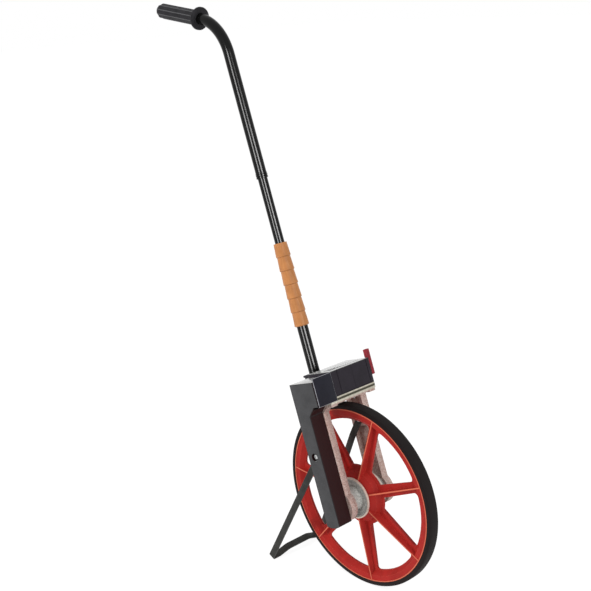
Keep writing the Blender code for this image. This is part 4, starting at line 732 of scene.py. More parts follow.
def stand_in(bm):
    """A passing object, for a Boolean to work on."""
    return linked("stand_in", mesh_from(bm, "stand_in"))


def carved(bm, *changes):
    """The mesh after each change: ("UNION", mesh), ("DIFFERENCE", mesh) or ("INTERSECT", mesh)."""
    whole = stand_in(bm)
    tools = []
    for operation, tool in changes:
        tools.append(stand_in(tool))
        step = whole.modifiers.new("carve", "BOOLEAN")
        step.operation = operation
        step.solver = "EXACT"
        step.object = tools[-1]
    graph = bpy.context.evaluated_depsgraph_get()
    result = bmesh.new()
    result.from_object(whole, graph)
    for item in [whole] + tools:
        mesh = item.data
        bpy.data.objects.remove(item, do_unlink=True)
        bpy.data.meshes.remove(mesh)
    bmesh.ops.remove_doubles(result, verts=result.verts, dist=0.000002)
    return result


def eased(bm, width, segments=2, sharper=math.radians(28), keep=None):
    """Rounds the sharp edges and marks the rounding, so that a finish can show wear there; most finishes paint a
    highlight there instead.
    """
    layer = bm.faces.layers.float.get("edge_wear_and_painted_light") or bm.faces.layers.float.new("edge_wear_and_painted_light")
    bmesh.ops.dissolve_limit(bm, angle_limit=math.radians(0.5), verts=bm.verts, edges=bm.edges)
    sharp = [edge for edge in bm.edges if len(edge.link_faces) == 2 and edge.calc_face_angle(0) > sharper
             and (keep is None or keep(edge))]
    rounding = bmesh.ops.bevel(bm, geom=sharp, offset=width, offset_type="OFFSET", affect="EDGES",
                               segments=segments, profile=0.5, material=-1, clamp_overlap=True)
    for face in rounding["faces"]:
        face[layer] = 1.0
    return bm


def tagged(bm, name, test):
    """Marks the faces that pass a test, for a finish to tell them from the rest."""
    layer = bm.faces.layers.float.get(name) or bm.faces.layers.float.new(name)
    for face in bm.faces:
        if test(face):
            face[layer] = 1.0
    return bm


def marked(bm, name, towards, at_least):
    """Marks the faces that look towards a direction."""
    bm.normal_update()
    aim = Vector(towards)
    return tagged(bm, name, lambda face: face.normal.dot(aim) > at_least)


def span_from_axle(face):
    """The least and the greatest distance of a face's corners from the axle."""
    radii = [math.hypot(corner.co.x, corner.co.z) for corner in face.verts]
    return min(radii), max(radii)


def cad_copy(node):
    """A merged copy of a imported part's mesh."""
    bm = bmesh.new()
    bm.from_mesh(frame["nodes"][node].data)
    bmesh.ops.remove_doubles(bm, verts=bm.verts, dist=0.000005)
    return bm


def settle(name, bm, place, body, surface, slot, *replaced, smooth=math.radians(32)):
    """The finished piece: its place in its mesh, riding on its body."""
    if place:
        placed(bm, place)
    mesh = mesh_from(bm, name)
    mesh.polygons.foreach_set("use_smooth", [True] * len(mesh.polygons))
    mesh.set_sharp_from_angle(angle=smooth)
    mesh.materials.append(surface)
    item = linked(name, mesh)
    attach(item, body)
    if replaced:
        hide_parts(*replaced)
    return item


def cad_finish(surface, *nodes):
    """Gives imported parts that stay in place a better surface."""
    for node in nodes:
        mesh = frame["nodes"][node].data
        mesh.materials.clear()
        mesh.materials.append(surface)


def facing(side):
    """The turn that lays a turned piece's Z along +Y or -Y."""
    return Matrix.Rotation(-side * math.pi / 2, 4, "X")


def at_fork(forward=0, side=0, up=0):
    return FORK_FRAME @ Matrix.Translation((forward, side, up))


def bend_point(share):
    """A place on the handle's bend, by the share of its turn."""
    turn = BEND_TURN * share
    return Vector((-HANDLE_BACK - BEND_RADIUS + BEND_RADIUS * math.cos(turn), 0,
                   BEND_START + BEND_RADIUS * math.sin(turn)))


# What a user would change
def tint(name, description, default):
    return FloatVectorProperty(name=name, description=description, subtype="COLOR", size=3, min=0, max=1,
                               default=default)


def edge_width(name, parts, default, least, most):
    return FloatProperty(name=name, description="Rounding of " + parts, subtype="DISTANCE", unit="LENGTH",
                         default=default, min=least, max=most)


def lamp_power(name, description, default):
    return FloatProperty(name=name, description=description, unit="POWER", default=default, min=0.0)


class WheelLook(bpy.types.PropertyGroup):
    """Colours and sizes of the wheel's visible finish."""

    wheel_red: tint("Wheel red", "Colour of the moulded wheel", (0.42, 0.022, 0.017))
    # The wheel's paler edge red is a painted highlight.
    wheel_edge: tint("Wheel edge", "Paler red along the wheel's edges", (0.64, 0.15, 0.085))
    tyre_charcoal: tint("Tyre", "Colour of the tyre's rubber", (0.0060, 0.0035, 0.0035))
    casting_metal: tint("Casting", "Bright metal of the cast fork", (0.57, 0.47, 0.43))
    casting_speckle: tint("Casting speckle", "Dull warm speckles of the casting", (0.37, 0.235, 0.20))
    cover_grey: tint("Cover", "Colour of the drive cover", (0.060, 0.060, 0.063))
    # The cover's darker front tone is a painted shade.
    cover_front: tint("Cover front", "Darker tone of the cover's front", (0.023, 0.0035, 0.0040))
    fascia_blue: tint("Fascia", "Colour of the plate before the cover", (0.012, 0.012, 0.020))
    counter_black: tint("Counter", "Colour of the counter's housing", (0.021, 0.017, 0.024))
    enamel_black: tint("Enamel", "Colour of the handle's enamel", (0.0025, 0.0025, 0.0025))
    grip_black: tint("Grip", "Colour of the grip's vinyl", (0.014, 0.013, 0.016))
    sleeve_orange: tint("Sleeve", "Colour of the sliding sleeve", (0.53, 0.215, 0.070))
    sleeve_pale: tint("Sleeve lips", "Paler tone of the sleeve's lips", (0.74, 0.40, 0.17))
    lever_red: tint("Lever", "Colour of the reset lever", (0.28, 0.024, 0.036))
    stand_charcoal: tint("Stand", "Paint of the stand", (0.034, 0.034, 0.031))
    plastic_edge: edge_width("Plastic edge", "the plastic covers' edges", 0.0009, 0.0002, 0.0014)
    casting_edge: edge_width("Casting edge", "the cast fork's edges", 0.0008, 0.0002, 0.0012)
    spoke_edge: edge_width("Spoke edge", "the wheel's edges", 0.0007, 0.0002, 0.0010)
    strap_edge: edge_width("Strap edge", "the stand's edges", 0.0005, 0.0001, 0.0008)


class StageLook(bpy.types.PropertyGroup):
    """The plain studio that the wheel stands in."""

    key_power: lamp_power("Key lamp", "Power of the tall lamp on the cover's side", 46.0)
    front_power: lamp_power("Front lamp", "Power of the tall lamp near the camera", 28.0)
    streak_power: lamp_power("Streak lamps", "Power for each metre of width of the lamps that only the enamel's "
                             "shine shows", 210.0)
    sky: FloatProperty(name="Sky", description="Strength of the even light from all round", default=0.55,
                       min=0.0, max=1.0)
    floor_share: FloatProperty(name="White share", description="How far the floor is lifted to plain white",
                               subtype="FACTOR", default=0.86, min=0.0, max=1.0)
    lens: FloatProperty(name="Lens", description="Focal length of the camera", subtype="DISTANCE_CAMERA",
                        default=66.38, min=10.0)


def look():
    return bpy.context.scene.measuring_wheel_look


class Maker:
    """What every maker of pieces shares."""

    bl_options = {"REGISTER", "UNDO"}


class MEASURING_WHEEL_OT_wheel(Maker, bpy.types.Operator):
    """Makes the spoked wheel"""

    bl_idname = "measuring_wheel.wheel"
    bl_label = "Road wheel"

    def execute(self, context):
        bore = AXLE_RADIUS + TOUCH
        half = [(bore, HUB_HALF), (HUB_BOSS, HUB_HALF), (HUB_BOSS_FOOT, HUB_BOSS_SIDE),
                (HUB_SHOULDER, HUB_SHOULDER_HALF), (HUB_FOOT, WEB_HALF), (RIM_WALL_FOOT, WEB_HALF),
                (RIM_CREASE, RIM_HALF - RIM_LAND_DEPTH), (RIM_LIP, RIM_HALF - RIM_LAND_DEPTH),
                (RIM_LIP + TOUCH, RIM_HALF), (RIM_RADIUS, RIM_HALF)]
        body = placed(turned(mirrored(half), WHEEL_STEPS), LATERAL)
        openings, ribs = [gathered([self.turned_to(number, make()) for number in range(SPOKES)])
                          for make in (self.opening, self.rib)]
        wheel = eased(carved(body, ("DIFFERENCE", openings), ("UNION", ribs)), look().spoke_edge)
        # Marks the lip lands and rib tops for the paler red of the painted highlight.
        tagged(wheel, "edge_wear_and_painted_light", lambda face: min(abs(corner.co.y) for corner in face.verts) > RIM_HALF - TOUCH
               and span_from_axle(face)[1] > HUB_BOSS_FOOT and abs(face.normal.y) > 0.98)
        settle("spoked_wheel", wheel, WHEEL_FRAME, "road_wheel", red_plastic(look()), "red_plastic", "wheel")
        return {"FINISHED"}

    def turned_to(self, number, bm):
        return placed(bm, Matrix.Rotation(-SPOKE_PHASE - number * SPOKE_PITCH, 4, "Y"))

    def opening(self):
        """The gap between two spokes, with round corners at the rim and at the hub."""
        inner = math.asin(SPOKE_HALF_AT_HUB / OPENING_INNER)
        outer = math.asin(SPOKE_HALF_AT_RIM / OPENING_OUTER)
        start, end = [(OPENING_INNER * math.cos(turn), OPENING_INNER * math.sin(turn))
                      for turn in (inner, SPOKE_PITCH - inner)]
        wide, narrow = [(OPENING_OUTER * math.cos(turn), OPENING_OUTER * math.sin(turn))
                        for turn in (outer, SPOKE_PITCH - outer)]
        bm = drawn(start, [wide, (0, 0, SPOKE_PITCH - 2 * outer), end, (0, 0, 2 * inner - SPOKE_PITCH)], 8)
        round_corners(bm, [wide, narrow], OPENING_FILLET)
        round_corners(bm, [start, end], OPENING_HUB_FILLET)
        return deepened(bm, -WEB_HALF - OVERRUN, WEB_HALF + OVERRUN)

    def rib(self):
        """A spoke's rib, taller towards the hub."""
        foot = HUB_BOSS - TOUCH
        tip = RIM_LIP + TOUCH / 2
        bm = drawn((foot, -RIB_HALF_AT_HUB),
                   [(tip, -RIB_HALF_AT_RIM), (tip, RIB_HALF_AT_RIM), (foot, RIB_HALF_AT_HUB)])
        deepened(bm, TOUCH / 2 - RIM_HALF, RIM_HALF - TOUCH / 2)
        taller = (HUB_HALF - TOUCH) / RIM_HALF - 1
        for corner in bm.verts:
            corner.co.y *= 1 + taller * (tip - corner.co.x) / (tip - foot)
        return bm


class MEASURING_WHEEL_OT_tyre(Maker, bpy.types.Operator):
    """Makes the tyre, with a slight crown and rounded shoulders"""

    bl_idname = "measuring_wheel.tyre"
    bl_label = "Tyre"

    def execute(self, context):
        inner = RIM_RADIUS + TOUCH
        shoulder = TYRE_HALF - TYRE_EDGE
        lip = TYRE_EDGE / 6
        half = [(TYRE_RADIUS, TYRE_CROWN * TYRE_HALF), (TYRE_RADIUS - lip / 2, shoulder),
                (TYRE_RADIUS - 2 * lip, TYRE_HALF - 2 * lip), (TYRE_RADIUS - TYRE_EDGE, TYRE_HALF - lip / 2),
                (inner + 2 * lip, TYRE_HALF), (inner, TYRE_HALF - lip), (inner, TYRE_CROWN * TYRE_HALF)]
        bm = placed(turned(mirrored(half), TYRE_STEPS), LATERAL)
        settle("rubber_tyre", bm, WHEEL_FRAME, "road_wheel", tyre_rubber(look()), "tyre_rubber", "tyre")
        return {"FINISHED"}


class MEASURING_WHEEL_OT_fork(Maker, bpy.types.Operator):
    """Makes the cast fork legs, with their shields, and the bridge across them"""

    bl_idname = "measuring_wheel.fork"
    bl_label = "Cast fork"

    def execute(self, context):
        casting = cast_aluminium(look())
        for side, word in ((-1, "near"), (1, "far")):
            settle("cast_leg_" + word, self.leg(side), FORK_FRAME, "frame", casting, "cast_aluminium",
                   "fork_leg_" + word)
        bridge = carved(placed(cad_copy("fork_bridge"), FORK_FRAME.inverted()), ("DIFFERENCE", block(
            (LEG_FRONT, LIP_FRONT + OVERRUN), (2 * TOUCH - LEG_INNER, LEG_INNER - 2 * TOUCH),
            (LEG_TOP - OVERRUN, BRIDGE_EDGE_LOW))))
        settle("cast_bridge", eased(bridge, look().casting_edge / 2), FORK_FRAME, "frame", casting,
               "cast_aluminium", "fork_bridge")
        return {"FINISHED"}

    def leg(self, side):
        """One cast leg with its shield, the narrow gusset between them, its channels and its bores."""
        rear_turn = math.pi - math.acos(LEG_REAR / LEG_END_RADIUS)
        swing = 1.5 * math.pi + math.acos(LEG_FRONT / LEG_END_RADIUS) - (rear_turn - math.pi / 2)
        start = (LEG_END_RADIUS * math.cos(rear_turn), LEG_END_RADIUS * math.sin(rear_turn) - LEG_END_DROP)
        near = side < 0
        reach = LEG_GUSSET_REACH if near else FAR_GUSSET_REACH
        height = LEG_GUSSET_HEIGHT if near else FAR_GUSSET_HEIGHT
        plate = drawn(start, [(0, -LEG_END_DROP, swing), (LEG_FRONT, LEG_TOP - height),
                              (LEG_FRONT + reach, LEG_TOP), (-LEG_REAR, LEG_TOP)], 36)
        deepened(plate, side * LEG_INNER, side * LEG_OUTER)
        shield = turned([(0, SHIELD_INNER), (SHIELD_RADIUS, SHIELD_INNER), (SHIELD_RADIUS, SHIELD_RIM),
                         (SHIELD_FLOOR, SHIELD_RIM), (SHIELD_FLOOR, SHIELD_FACE), (LEG_BOSS_RADIUS, SHIELD_FACE),
                         (LEG_BOSS_RADIUS - TOUCH, LEG_INNER + TOUCH), (0, LEG_INNER + TOUCH)], SHIELD_STEPS,
                        closed=False)
        inner, outer = LEG_BOSS_RADIUS + GROOVE_MARGIN, LEG_BOSS_RADIUS + 2 * GROOVE_MARGIN
        floor, brim = SHIELD_FACE - GROOVE_DEPTH, SHIELD_FACE + TOUCH
        groove = turned([(inner, floor), (outer, floor), (outer, brim), (inner, brim)], SHIELD_STEPS)
        for piece in (shield, groove):
            placed(piece, facing(side))
        turn = 1.5 * math.pi - SHIELD_GUSSET_TURN
        low = (LEG_END_RADIUS * math.cos(turn), LEG_END_RADIUS * math.sin(turn) - LEG_END_DROP)
        gusset = deepened(drawn(low, [(0, -LEG_END_DROP, 2 * SHIELD_GUSSET_TURN)], 16),
                          side * (SHIELD_INNER + TOUCH), side * (LEG_INNER + TOUCH))
        bore = placed(rod(BEARING_RADIUS, SHIELD_INNER - OVERRUN, BEARING_END), facing(side))
        passage = placed(rod(AXLE_RADIUS + 2 * TOUCH, SHIELD_INNER, LEG_OUTER + OVERRUN), facing(side))
        leg = carved(plate, ("UNION", shield), ("UNION", gusset),
                     ("DIFFERENCE", gathered(self.channels(side))), ("DIFFERENCE", groove),
                     ("DIFFERENCE", bore), ("DIFFERENCE", passage))
        leg = eased(leg, look().casting_edge)

        def on_shield(face):
            return min(abs(corner.co.y) for corner in face.verts) < LEG_INNER - 2 * TOUCH

        def on_rim(face):
            return span_from_axle(face)[0] > SHIELD_FLOOR - TOUCH

        tagged(leg, "disc", lambda face: on_shield(face) and not on_rim(face))
        # The shield's rim is marked for a paler tone: a painted highlight.
        return tagged(leg, "rim", lambda face: on_shield(face) and on_rim(face))

    def channels(self, side):
        """The pockets in the leg's inner side, above and below the stand's pivot."""
        rear = CHANNEL_MARGIN - LEG_REAR
        front = LEG_FRONT - CHANNEL_MARGIN
        for low, high in ((CHANNEL_LOW, STAND_PIVOT[1] - PIVOT_PAD_RADIUS),
                          (STAND_PIVOT[1] + PIVOT_PAD_RADIUS, LEG_TOP - CHANNEL_MARGIN)):
            corners = [(rear, low), (front, low), (front, high), (rear, high)]
            pocket = round_corners(drawn(corners[0], corners[1:]), corners, CHANNEL_MARGIN)
            yield deepened(pocket, side * (LEG_INNER - OVERRUN), side * (LEG_INNER + CHANNEL_DEPTH))


class MEASURING_WHEEL_OT_screws(Maker, bpy.types.Operator):
    """Makes the visible screws, the axle's nut and washer and the socket's bolt and nut"""

    bl_idname = "measuring_wheel.screws"
    bl_label = "Screws and nuts"

    def execute(self, context):
        steel = zinc_steel()
        up, down, near, far = (0, 0, 1), (0, 0, -1), (0, -1, 0), (0, 1, 0)
        heads = [("frame_screw_%d" % number, up) for number in range(1, 5)]
        heads += [("socket_screw_%d" % number, down) for number in range(1, 5)]
        heads += [("cover_screw", near), ("lever_screw", far), ("stand_pivot_screw_near", far),
                  ("stand_pivot_screw_far", near), ("socket_bolt", near)]
        for node, towards in heads:
            self.screw(node, FORK_FRAME, towards, steel, "frame")
        self.screw("pulley_screw", WHEEL_FRAME, near, steel, "road_wheel")
        for node, body in (("axle_nut", "road_wheel"), ("socket_nut", "frame"),
                           ("axle_washer", "road_wheel")):
            settle(node + "_eased", eased(cad_copy(node), NUT_EDGE), None, body, steel, "bright_steel", node)
        return {"FINISHED"}

    def screw(self, node, space, towards, steel, body):
        """A pan head with a cross recess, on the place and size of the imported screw."""
        back = space.inverted()
        places = [back @ corner.co for corner in frame["nodes"][node].data.vertices]
        axis = Vector(towards)
        heights = [place.dot(axis) for place in places]
        top, foot = max(heights), min(heights)
        middle = sum(places, Vector()) / len(places)
        middle -= axis * middle.dot(axis)
        widest = {}
        for place, height in zip(places, heights):
            across = (place - middle - axis * height).length
            widest[round(height, 5)] = max(widest.get(round(height, 5), 0), across)
        head = max(widest.values())
        seat = min(height for height, across in widest.items() if across > 0.98 * head)
        shank = widest[min(widest)]
        crown = top - seat
        profile = [(0, foot), (shank, foot), (shank, seat), (head, seat), (head, seat + HEAD_WALL * crown)]
        profile += [(wide * head, seat + high * crown) for wide, high in HEAD_DOME]
        profile += [(HEAD_FLAT * head, top), (0, top)]
        if seat - foot < TOUCH:
            profile = profile[:1] + profile[3:]
        bm = turned(profile, 32, closed=False)
        reach, half = CROSS_REACH * head, CROSS_HALF * head
        arms = [placed(block((-reach, reach), (-half, half), (top - CROSS_DEPTH * crown, top + OVERRUN)),
                       Matrix.Rotation(turn, 4, "Z")) for turn in (CROSS_TURN, CROSS_TURN + math.pi / 2)]
        bm = carved(bm, ("DIFFERENCE", arms[0]), ("DIFFERENCE", arms[1]))
        turn = Vector((0, 0, 1)).rotation_difference(axis).to_matrix().to_4x4()
        place = space @ Matrix.Translation(middle) @ turn
        return settle(node + "_crossed", eased(bm, SCREW_EDGE, 1), place, body, steel, "bright_steel", node)


class MEASURING_WHEEL_OT_cover(Maker, bpy.types.Operator):
    """Makes the drive cover, its inset screw seat and the plate before it"""

    bl_idname = "measuring_wheel.cover"
    bl_label = "Drive cover"

    def execute(self, context):
        edge = look().plastic_edge
        plastic = cover_plastic("cover_plastic_grained", look().cover_grey, (0.020, 0.018, 0.019),
                                look().cover_front)
        middle = (COVER_FRONT - COVER_REAR) / 2
        swing = math.asin((COVER_FRONT - middle) / COVER_BOTTOM_RADIUS)
        centre = (middle, COVER_BOTTOM_RADIUS * math.cos(swing) - COVER_BOTTOM)
        outer = deepened(self.side(centre, 0), -COVER_FACE, -(LEG_OUTER + TOUCH))

        def shows(line):
            """True for edges away from the leg, and for those that run across."""
            return (max(corner.co.y for corner in line.verts) < -LEG_OUTER - 2 * TOUCH
                    or abs(line.verts[0].co.y - line.verts[1].co.y) > TOUCH)

        outer = eased(outer, edge, 3, keep=shows)
        front, rear = COVER_BLOCK_FRONT, -COVER_REAR
        cap = block((rear + TOUCH, front - TOUCH), (-COVER_FACE + COVER_WALL, COUNTER_NEAR - TOUCH),
                    (COUNTER_LOW, COVER_TOP - TOUCH))
        hollow = deepened(self.side(centre, COVER_WALL), -COVER_FACE + COVER_WALL, -LEG_OUTER + OVERRUN)
        cap_hollow = block((rear + COVER_WALL, front - COVER_WALL),
                           (-COVER_FACE + COVER_WALL, COUNTER_NEAR + OVERRUN),
                           (COUNTER_LOW - OVERRUN, COVER_TOP - COVER_WALL))
        seat = Matrix.Translation((middle, 0, COVER_SCREW_UP)) @ facing(-1)
        wide, deep = COVER_COUNTERBORE + COVER_WALL, COVER_FACE - COVER_COUNTERBORE_DEPTH - COVER_WALL
        cup = placed(turned([(0, deep), (wide, deep), (wide, COVER_FACE - TOUCH), (0, COVER_FACE - TOUCH)], 48,
                            closed=False), seat)
        bore = placed(rod(COVER_COUNTERBORE, COVER_FACE - COVER_COUNTERBORE_DEPTH, COVER_FACE + OVERRUN), seat)
        shell = carved(outer, ("UNION", cap), ("DIFFERENCE", hollow), ("DIFFERENCE", cap_hollow),
                       ("UNION", cup), ("DIFFERENCE", bore))
        # The front faces take the painted shade, the top faces the pale painted reflection.
        marked(marked(shell, "front", (1, 0, 0), 0.45), "top", (0, 0, 1), 0.95)
        settle("cover_shell", shell, FORK_FRAME, "frame", plastic, "cover_plastic", "drive_cover")
        plate = eased(cad_copy("cover_fascia"), edge / 2)
        # The fascia's pale edges are a painted highlight.
        navy = cover_plastic("fascia_plastic_grained", look().fascia_blue, (0.42, 0.42, 0.45))
        settle("cover_front_plate", plate, None, "frame", navy, "cover_plastic", "cover_fascia")
        return {"FINISHED"}

    def side(self, centre, inset):
        """The cover seen from the side, from its round foot to the wider block at the top."""
        front = COVER_FRONT - inset
        radius = COVER_BOTTOM_RADIUS - inset
        reach = math.asin((front - centre[0]) / radius)
        start = (centre[0] - radius * math.sin(reach), centre[1] - radius * math.cos(reach))
        return drawn(start, [(*centre, 2 * reach), (front, COVER_STEP_LOW + inset / 2),
                             (COVER_LEDGE_FRONT - inset, COVER_STEP_HIGH + inset),
                             (COVER_BLOCK_FRONT - inset, COVER_STEP_HIGH + inset),
                             (COVER_BLOCK_FRONT - inset, COVER_TOP - inset),
                             (inset - COVER_REAR, COVER_TOP - inset)], 20)


class MEASURING_WHEEL_OT_counter(Maker, bpy.types.Operator):
    """Makes the counter's housing, its clear pane and the steel shelf below it"""

    bl_idname = "measuring_wheel.counter"
    bl_label = "Counter housing"

    def execute(self, context):
        # The counter's pale edges are a painted highlight.
        plastic = cover_plastic("counter_plastic_grained", look().counter_black, (0.10, 0.10, 0.10))
        edge = look().plastic_edge
        middle = (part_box("counter_window")[0].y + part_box("counter_window")[1].y) / 2 - AXLE.y
        body = block((COUNTER_REAR, COUNTER_FRONT), (COUNTER_NEAR, COUNTER_FAR), (COUNTER_LOW, COUNTER_HIGH))
        body = eased(body, edge, 3)
        wall = COUNTER_WALL
        hollow = block((COUNTER_REAR + wall, COUNTER_FRONT - wall), (COUNTER_NEAR + wall, COUNTER_FAR - wall),
                       (COUNTER_LOW - OVERRUN, COUNTER_HIGH - wall))
        across = (COUNTER_SHAFT[0] - WINDOW_HALF_WIDTH, COUNTER_SHAFT[0] + WINDOW_HALF_WIDTH)
        along = (middle - WINDOW_HALF_LENGTH, middle + WINDOW_HALF_LENGTH)
        recess = block((across[0] - TOUCH, across[1] + TOUCH), (along[0] - TOUCH, along[1] + TOUCH),
                       (COUNTER_HIGH - WINDOW_THICKNESS - TOUCH, COUNTER_HIGH + OVERRUN))
        opening = block((across[0] + WINDOW_LAP, across[1] - WINDOW_LAP),
                        (along[0] + WINDOW_LAP, along[1] - WINDOW_LAP), (COUNTER_HIGH - 2 * wall, COUNTER_HIGH))
        seams = gathered([block((COUNTER_FRONT - depth, COUNTER_FRONT + OVERRUN), (side - width, side + width),
                                (COUNTER_LOW - OVERRUN, COUNTER_HIGH - below))
                          for side, width, depth, below in COUNTER_SEAMS])
        housing = carved(body, ("DIFFERENCE", hollow), ("DIFFERENCE", recess), ("DIFFERENCE", opening),
                         ("DIFFERENCE", seams))
        # The top faces take the pale painted reflection.
        marked(housing, "top", (0, 0, 1), 0.95)
        settle("counter_case", housing, FORK_FRAME, "frame", plastic, "cover_plastic", "counter_housing")
        pane = eased(cad_copy("counter_window"), PANE_EDGE)
        settle("counter_pane", pane, None, "frame", clear_plastic(), "clear_plastic", "counter_window")
        shelf = carved(placed(cad_copy("counter_base"), FORK_FRAME.inverted()), ("DIFFERENCE", block(
            (LIP_FRONT - LIP_RECESS, LIP_FRONT + OVERRUN), (COUNTER_NEAR - OVERRUN, LEG_OUTER + OVERRUN),
            (WEB_LOW, LIP_LOW))))
        shelf = eased(shelf, SHELF_EDGE, 1)
        shelf.normal_update()
        # The recessed strip of the shelf's front is marked for a dark tone: painted shade in the recess.
        tagged(shelf, "front",
               lambda face: face.normal.x > 0.9 and WEB_LOW < face.calc_center_median().z < LIP_LOW)
        settle("counter_shelf", shelf, FORK_FRAME, "frame", shelf_steel(), "bright_steel", "counter_base")
        return {"FINISHED"}


class MEASURING_WHEEL_OT_drums(Maker, bpy.types.Operator):
    """Makes the number drums with their digits"""

    bl_idname = "measuring_wheel.drums"
    bl_label = "Number drums"

    def execute(self, context):
        ink = drum_plastic()
        paint = digit_paint()
        shaft = at_fork(COUNTER_SHAFT[0], 0, COUNTER_SHAFT[1])
        for number in range(1, DRUMS + 1):
            low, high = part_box("number_drum_%d" % number)
            middle = (low.y + high.y) / 2 - AXLE.y
            body = "counter_drive" if number == 1 else "drum_%d" % number
            half, rim, web = DRUM_WIDTH / 2, DRUM_RADIUS - DRUM_RIM, DRUM_WEB - DRUM_WIDTH / 2
            profile = [(DRUM_BORE, -half), (DRUM_RADIUS, -half), (DRUM_RADIUS, half), (rim, half), (rim, web),
                       (DRUM_HUB, web), (DRUM_HUB, half), (DRUM_BORE, half)]
            place = shaft @ Matrix.Translation((0, middle, 0))
            drum = placed(eased(turned(profile, 80), DRUM_EDGE, 1), LATERAL)
            settle("drum_%d_body" % number, drum, place, body, ink, "drum_plastic", "number_drum_%d" % number)
            settle("drum_%d_digits" % number, self.digits(), place, body, paint, "drum_plastic")
        return {"FINISHED"}

    def digits(self):
        """The ten digits of one drum, wrapped round it."""
        return gathered([self.wrapped(digit) for digit in range(10)])

    def wrapped(self, digit):
        """One digit, bent round the drum at its own tenth of a turn."""
        curve = bpy.data.curves.new("digit", "FONT")
        curve.body = str(digit)
        curve.size = DIGIT_SIZE
        curve.align_x = "CENTER"
        curve.align_y = "CENTER"
        item = linked("digit", curve)
        graph = bpy.context.evaluated_depsgraph_get()
        mesh = bpy.data.meshes.new_from_object(item.evaluated_get(graph))
        bpy.data.objects.remove(item, do_unlink=True)
        bpy.data.curves.remove(curve)
        bm = bmesh.new()
        bm.from_mesh(mesh)
        bpy.data.meshes.remove(mesh)
        bmesh.ops.triangulate(bm, faces=bm.faces)
        long = [edge for edge in bm.edges if edge.calc_length() > DIGIT_EDGE_MOST]
        bmesh.ops.subdivide_edges(bm, edges=long, cuts=3, use_grid_fill=True)
        for corner in bm.verts:
            turn = corner.co.y / DRUM_RADIUS
            radius = DRUM_RADIUS + DIGIT_LIFT
            corner.co = (radius * math.sin(turn), -corner.co.x, radius * math.cos(turn))
        bmesh.ops.recalc_face_normals(bm, faces=bm.faces)
        bm.normal_update()
        if sum(face.normal.dot(face.calc_center_median()) for face in bm.faces) < 0:
            bmesh.ops.reverse_faces(bm, faces=bm.faces)
        return placed(bm, Matrix.Rotation(digit * DIGIT_PITCH, 4, "Y"))


class MEASURING_WHEEL_OT_lever(Maker, bpy.types.Operator):
    """Makes the reset lever with its finger tab"""

    bl_idname = "measuring_wheel.lever"
    bl_label = "Reset lever"

    def execute(self, context):
        x, z = COUNTER_SHAFT
        back = LEVER_FRONT - LEVER_ARM
        plate = drawn((x, z + LEVER_HUB),
                      [(x, z, math.pi), (LEVER_FRONT, LEVER_LOW), (LEVER_FRONT, LEVER_HIGH),
                       (back, LEVER_HIGH), (back, LEVER_ARM_TOP)], 24)
        round_corners(plate, [(LEVER_FRONT, LEVER_LOW), (LEVER_FRONT, LEVER_HIGH), (back, LEVER_HIGH)],
                      LEVER_CORNER, 4)
        deepened(plate, LEVER_NEAR, LEVER_NEAR + LEVER_THICKNESS)
        tab = block((back + TOUCH, LEVER_FRONT - TOUCH),
                    (LEVER_NEAR - LEVER_TAB_REACH, LEVER_NEAR + LEVER_THICKNESS / 2),
                    (LEVER_HIGH - LEVER_TAB_HEIGHT, LEVER_HIGH - TOUCH))
        hole = placed(rod(LEVER_HOLE, LEVER_NEAR - OVERRUN, LEVER_NEAR + LEVER_THICKNESS + OVERRUN),
                      Matrix.Translation((x, 0, z)) @ LATERAL)
        lever = eased(carved(plate, ("UNION", tab), ("DIFFERENCE", hole)), LEVER_EDGE, 3)
        settle("reset_lever_red", lever, FORK_FRAME, "reset", lever_plastic(look()), "lever_plastic",
               "reset_lever")
        return {"FINISHED"}


class MEASURING_WHEEL_OT_stand(Maker, bpy.types.Operator):
    """Makes the folding stand from one bent strap"""

    bl_idname = "measuring_wheel.stand"
    bl_label = "Stand"

    def execute(self, context):
        half = LEG_INNER - TOUCH - STRAP_THICKNESS / 2
        pivot = TYRE_RADIUS + STAND_PIVOT[1] * math.cos(FORK_LEAN) + STAND_PIVOT[0] * math.sin(FORK_LEAN)
        length = (pivot - STRAP_WIDTH / 2 * math.sin(STAND_LEAN)) / math.cos(STAND_LEAN)
        foot = STAND_FOOT_HALF
        bottom = STRAP_THICKNESS / 2 - length
        arch = foot - STAND_PAD - STAND_ARCH_RUN
        side = [(-half, STAND_EYE), (-half, -STAND_STRAIGHT), (-foot, bottom), (-foot + STAND_PAD, bottom),
                (-arch, bottom + STAND_ARCH)]
        bm = bmesh.new()
        width = STRAP_WIDTH / 2
        line = [bm.verts.new((-width, y, z)) for y, z in side + [(-y, z) for y, z in reversed(side)]]
        for pair in zip(line, line[1:]):
            bm.edges.new(pair)
        for corner, radius in zip(line, STAND_BENDS + STAND_BENDS[::-1]):
            if radius:
                round_corner(bm, corner, radius, 10)
        grown = bmesh.ops.extrude_edge_only(bm, edges=list(bm.edges))
        bmesh.ops.translate(bm, verts=corners_in(grown["geom"]), vec=(STRAP_WIDTH, 0, 0))
        bmesh.ops.recalc_face_normals(bm, faces=bm.faces)
        bm.normal_update()
        for corner in bm.verts:
            corner.co += corner.normal * STRAP_THICKNESS / 2
        bmesh.ops.solidify(bm, geom=list(bm.faces), thickness=STRAP_THICKNESS)
        bmesh.ops.recalc_face_normals(bm, faces=bm.faces)
        place = at_fork(STAND_PIVOT[0], 0, STAND_PIVOT[1]) @ Matrix.Rotation(FORK_LEAN + STAND_LEAN, 4, "Y")
        settle("stand_strap", eased(bm, look().strap_edge), place, "kickstand", stand_steel(look()),
               "black_steel", "stand")
        return {"FINISHED"}


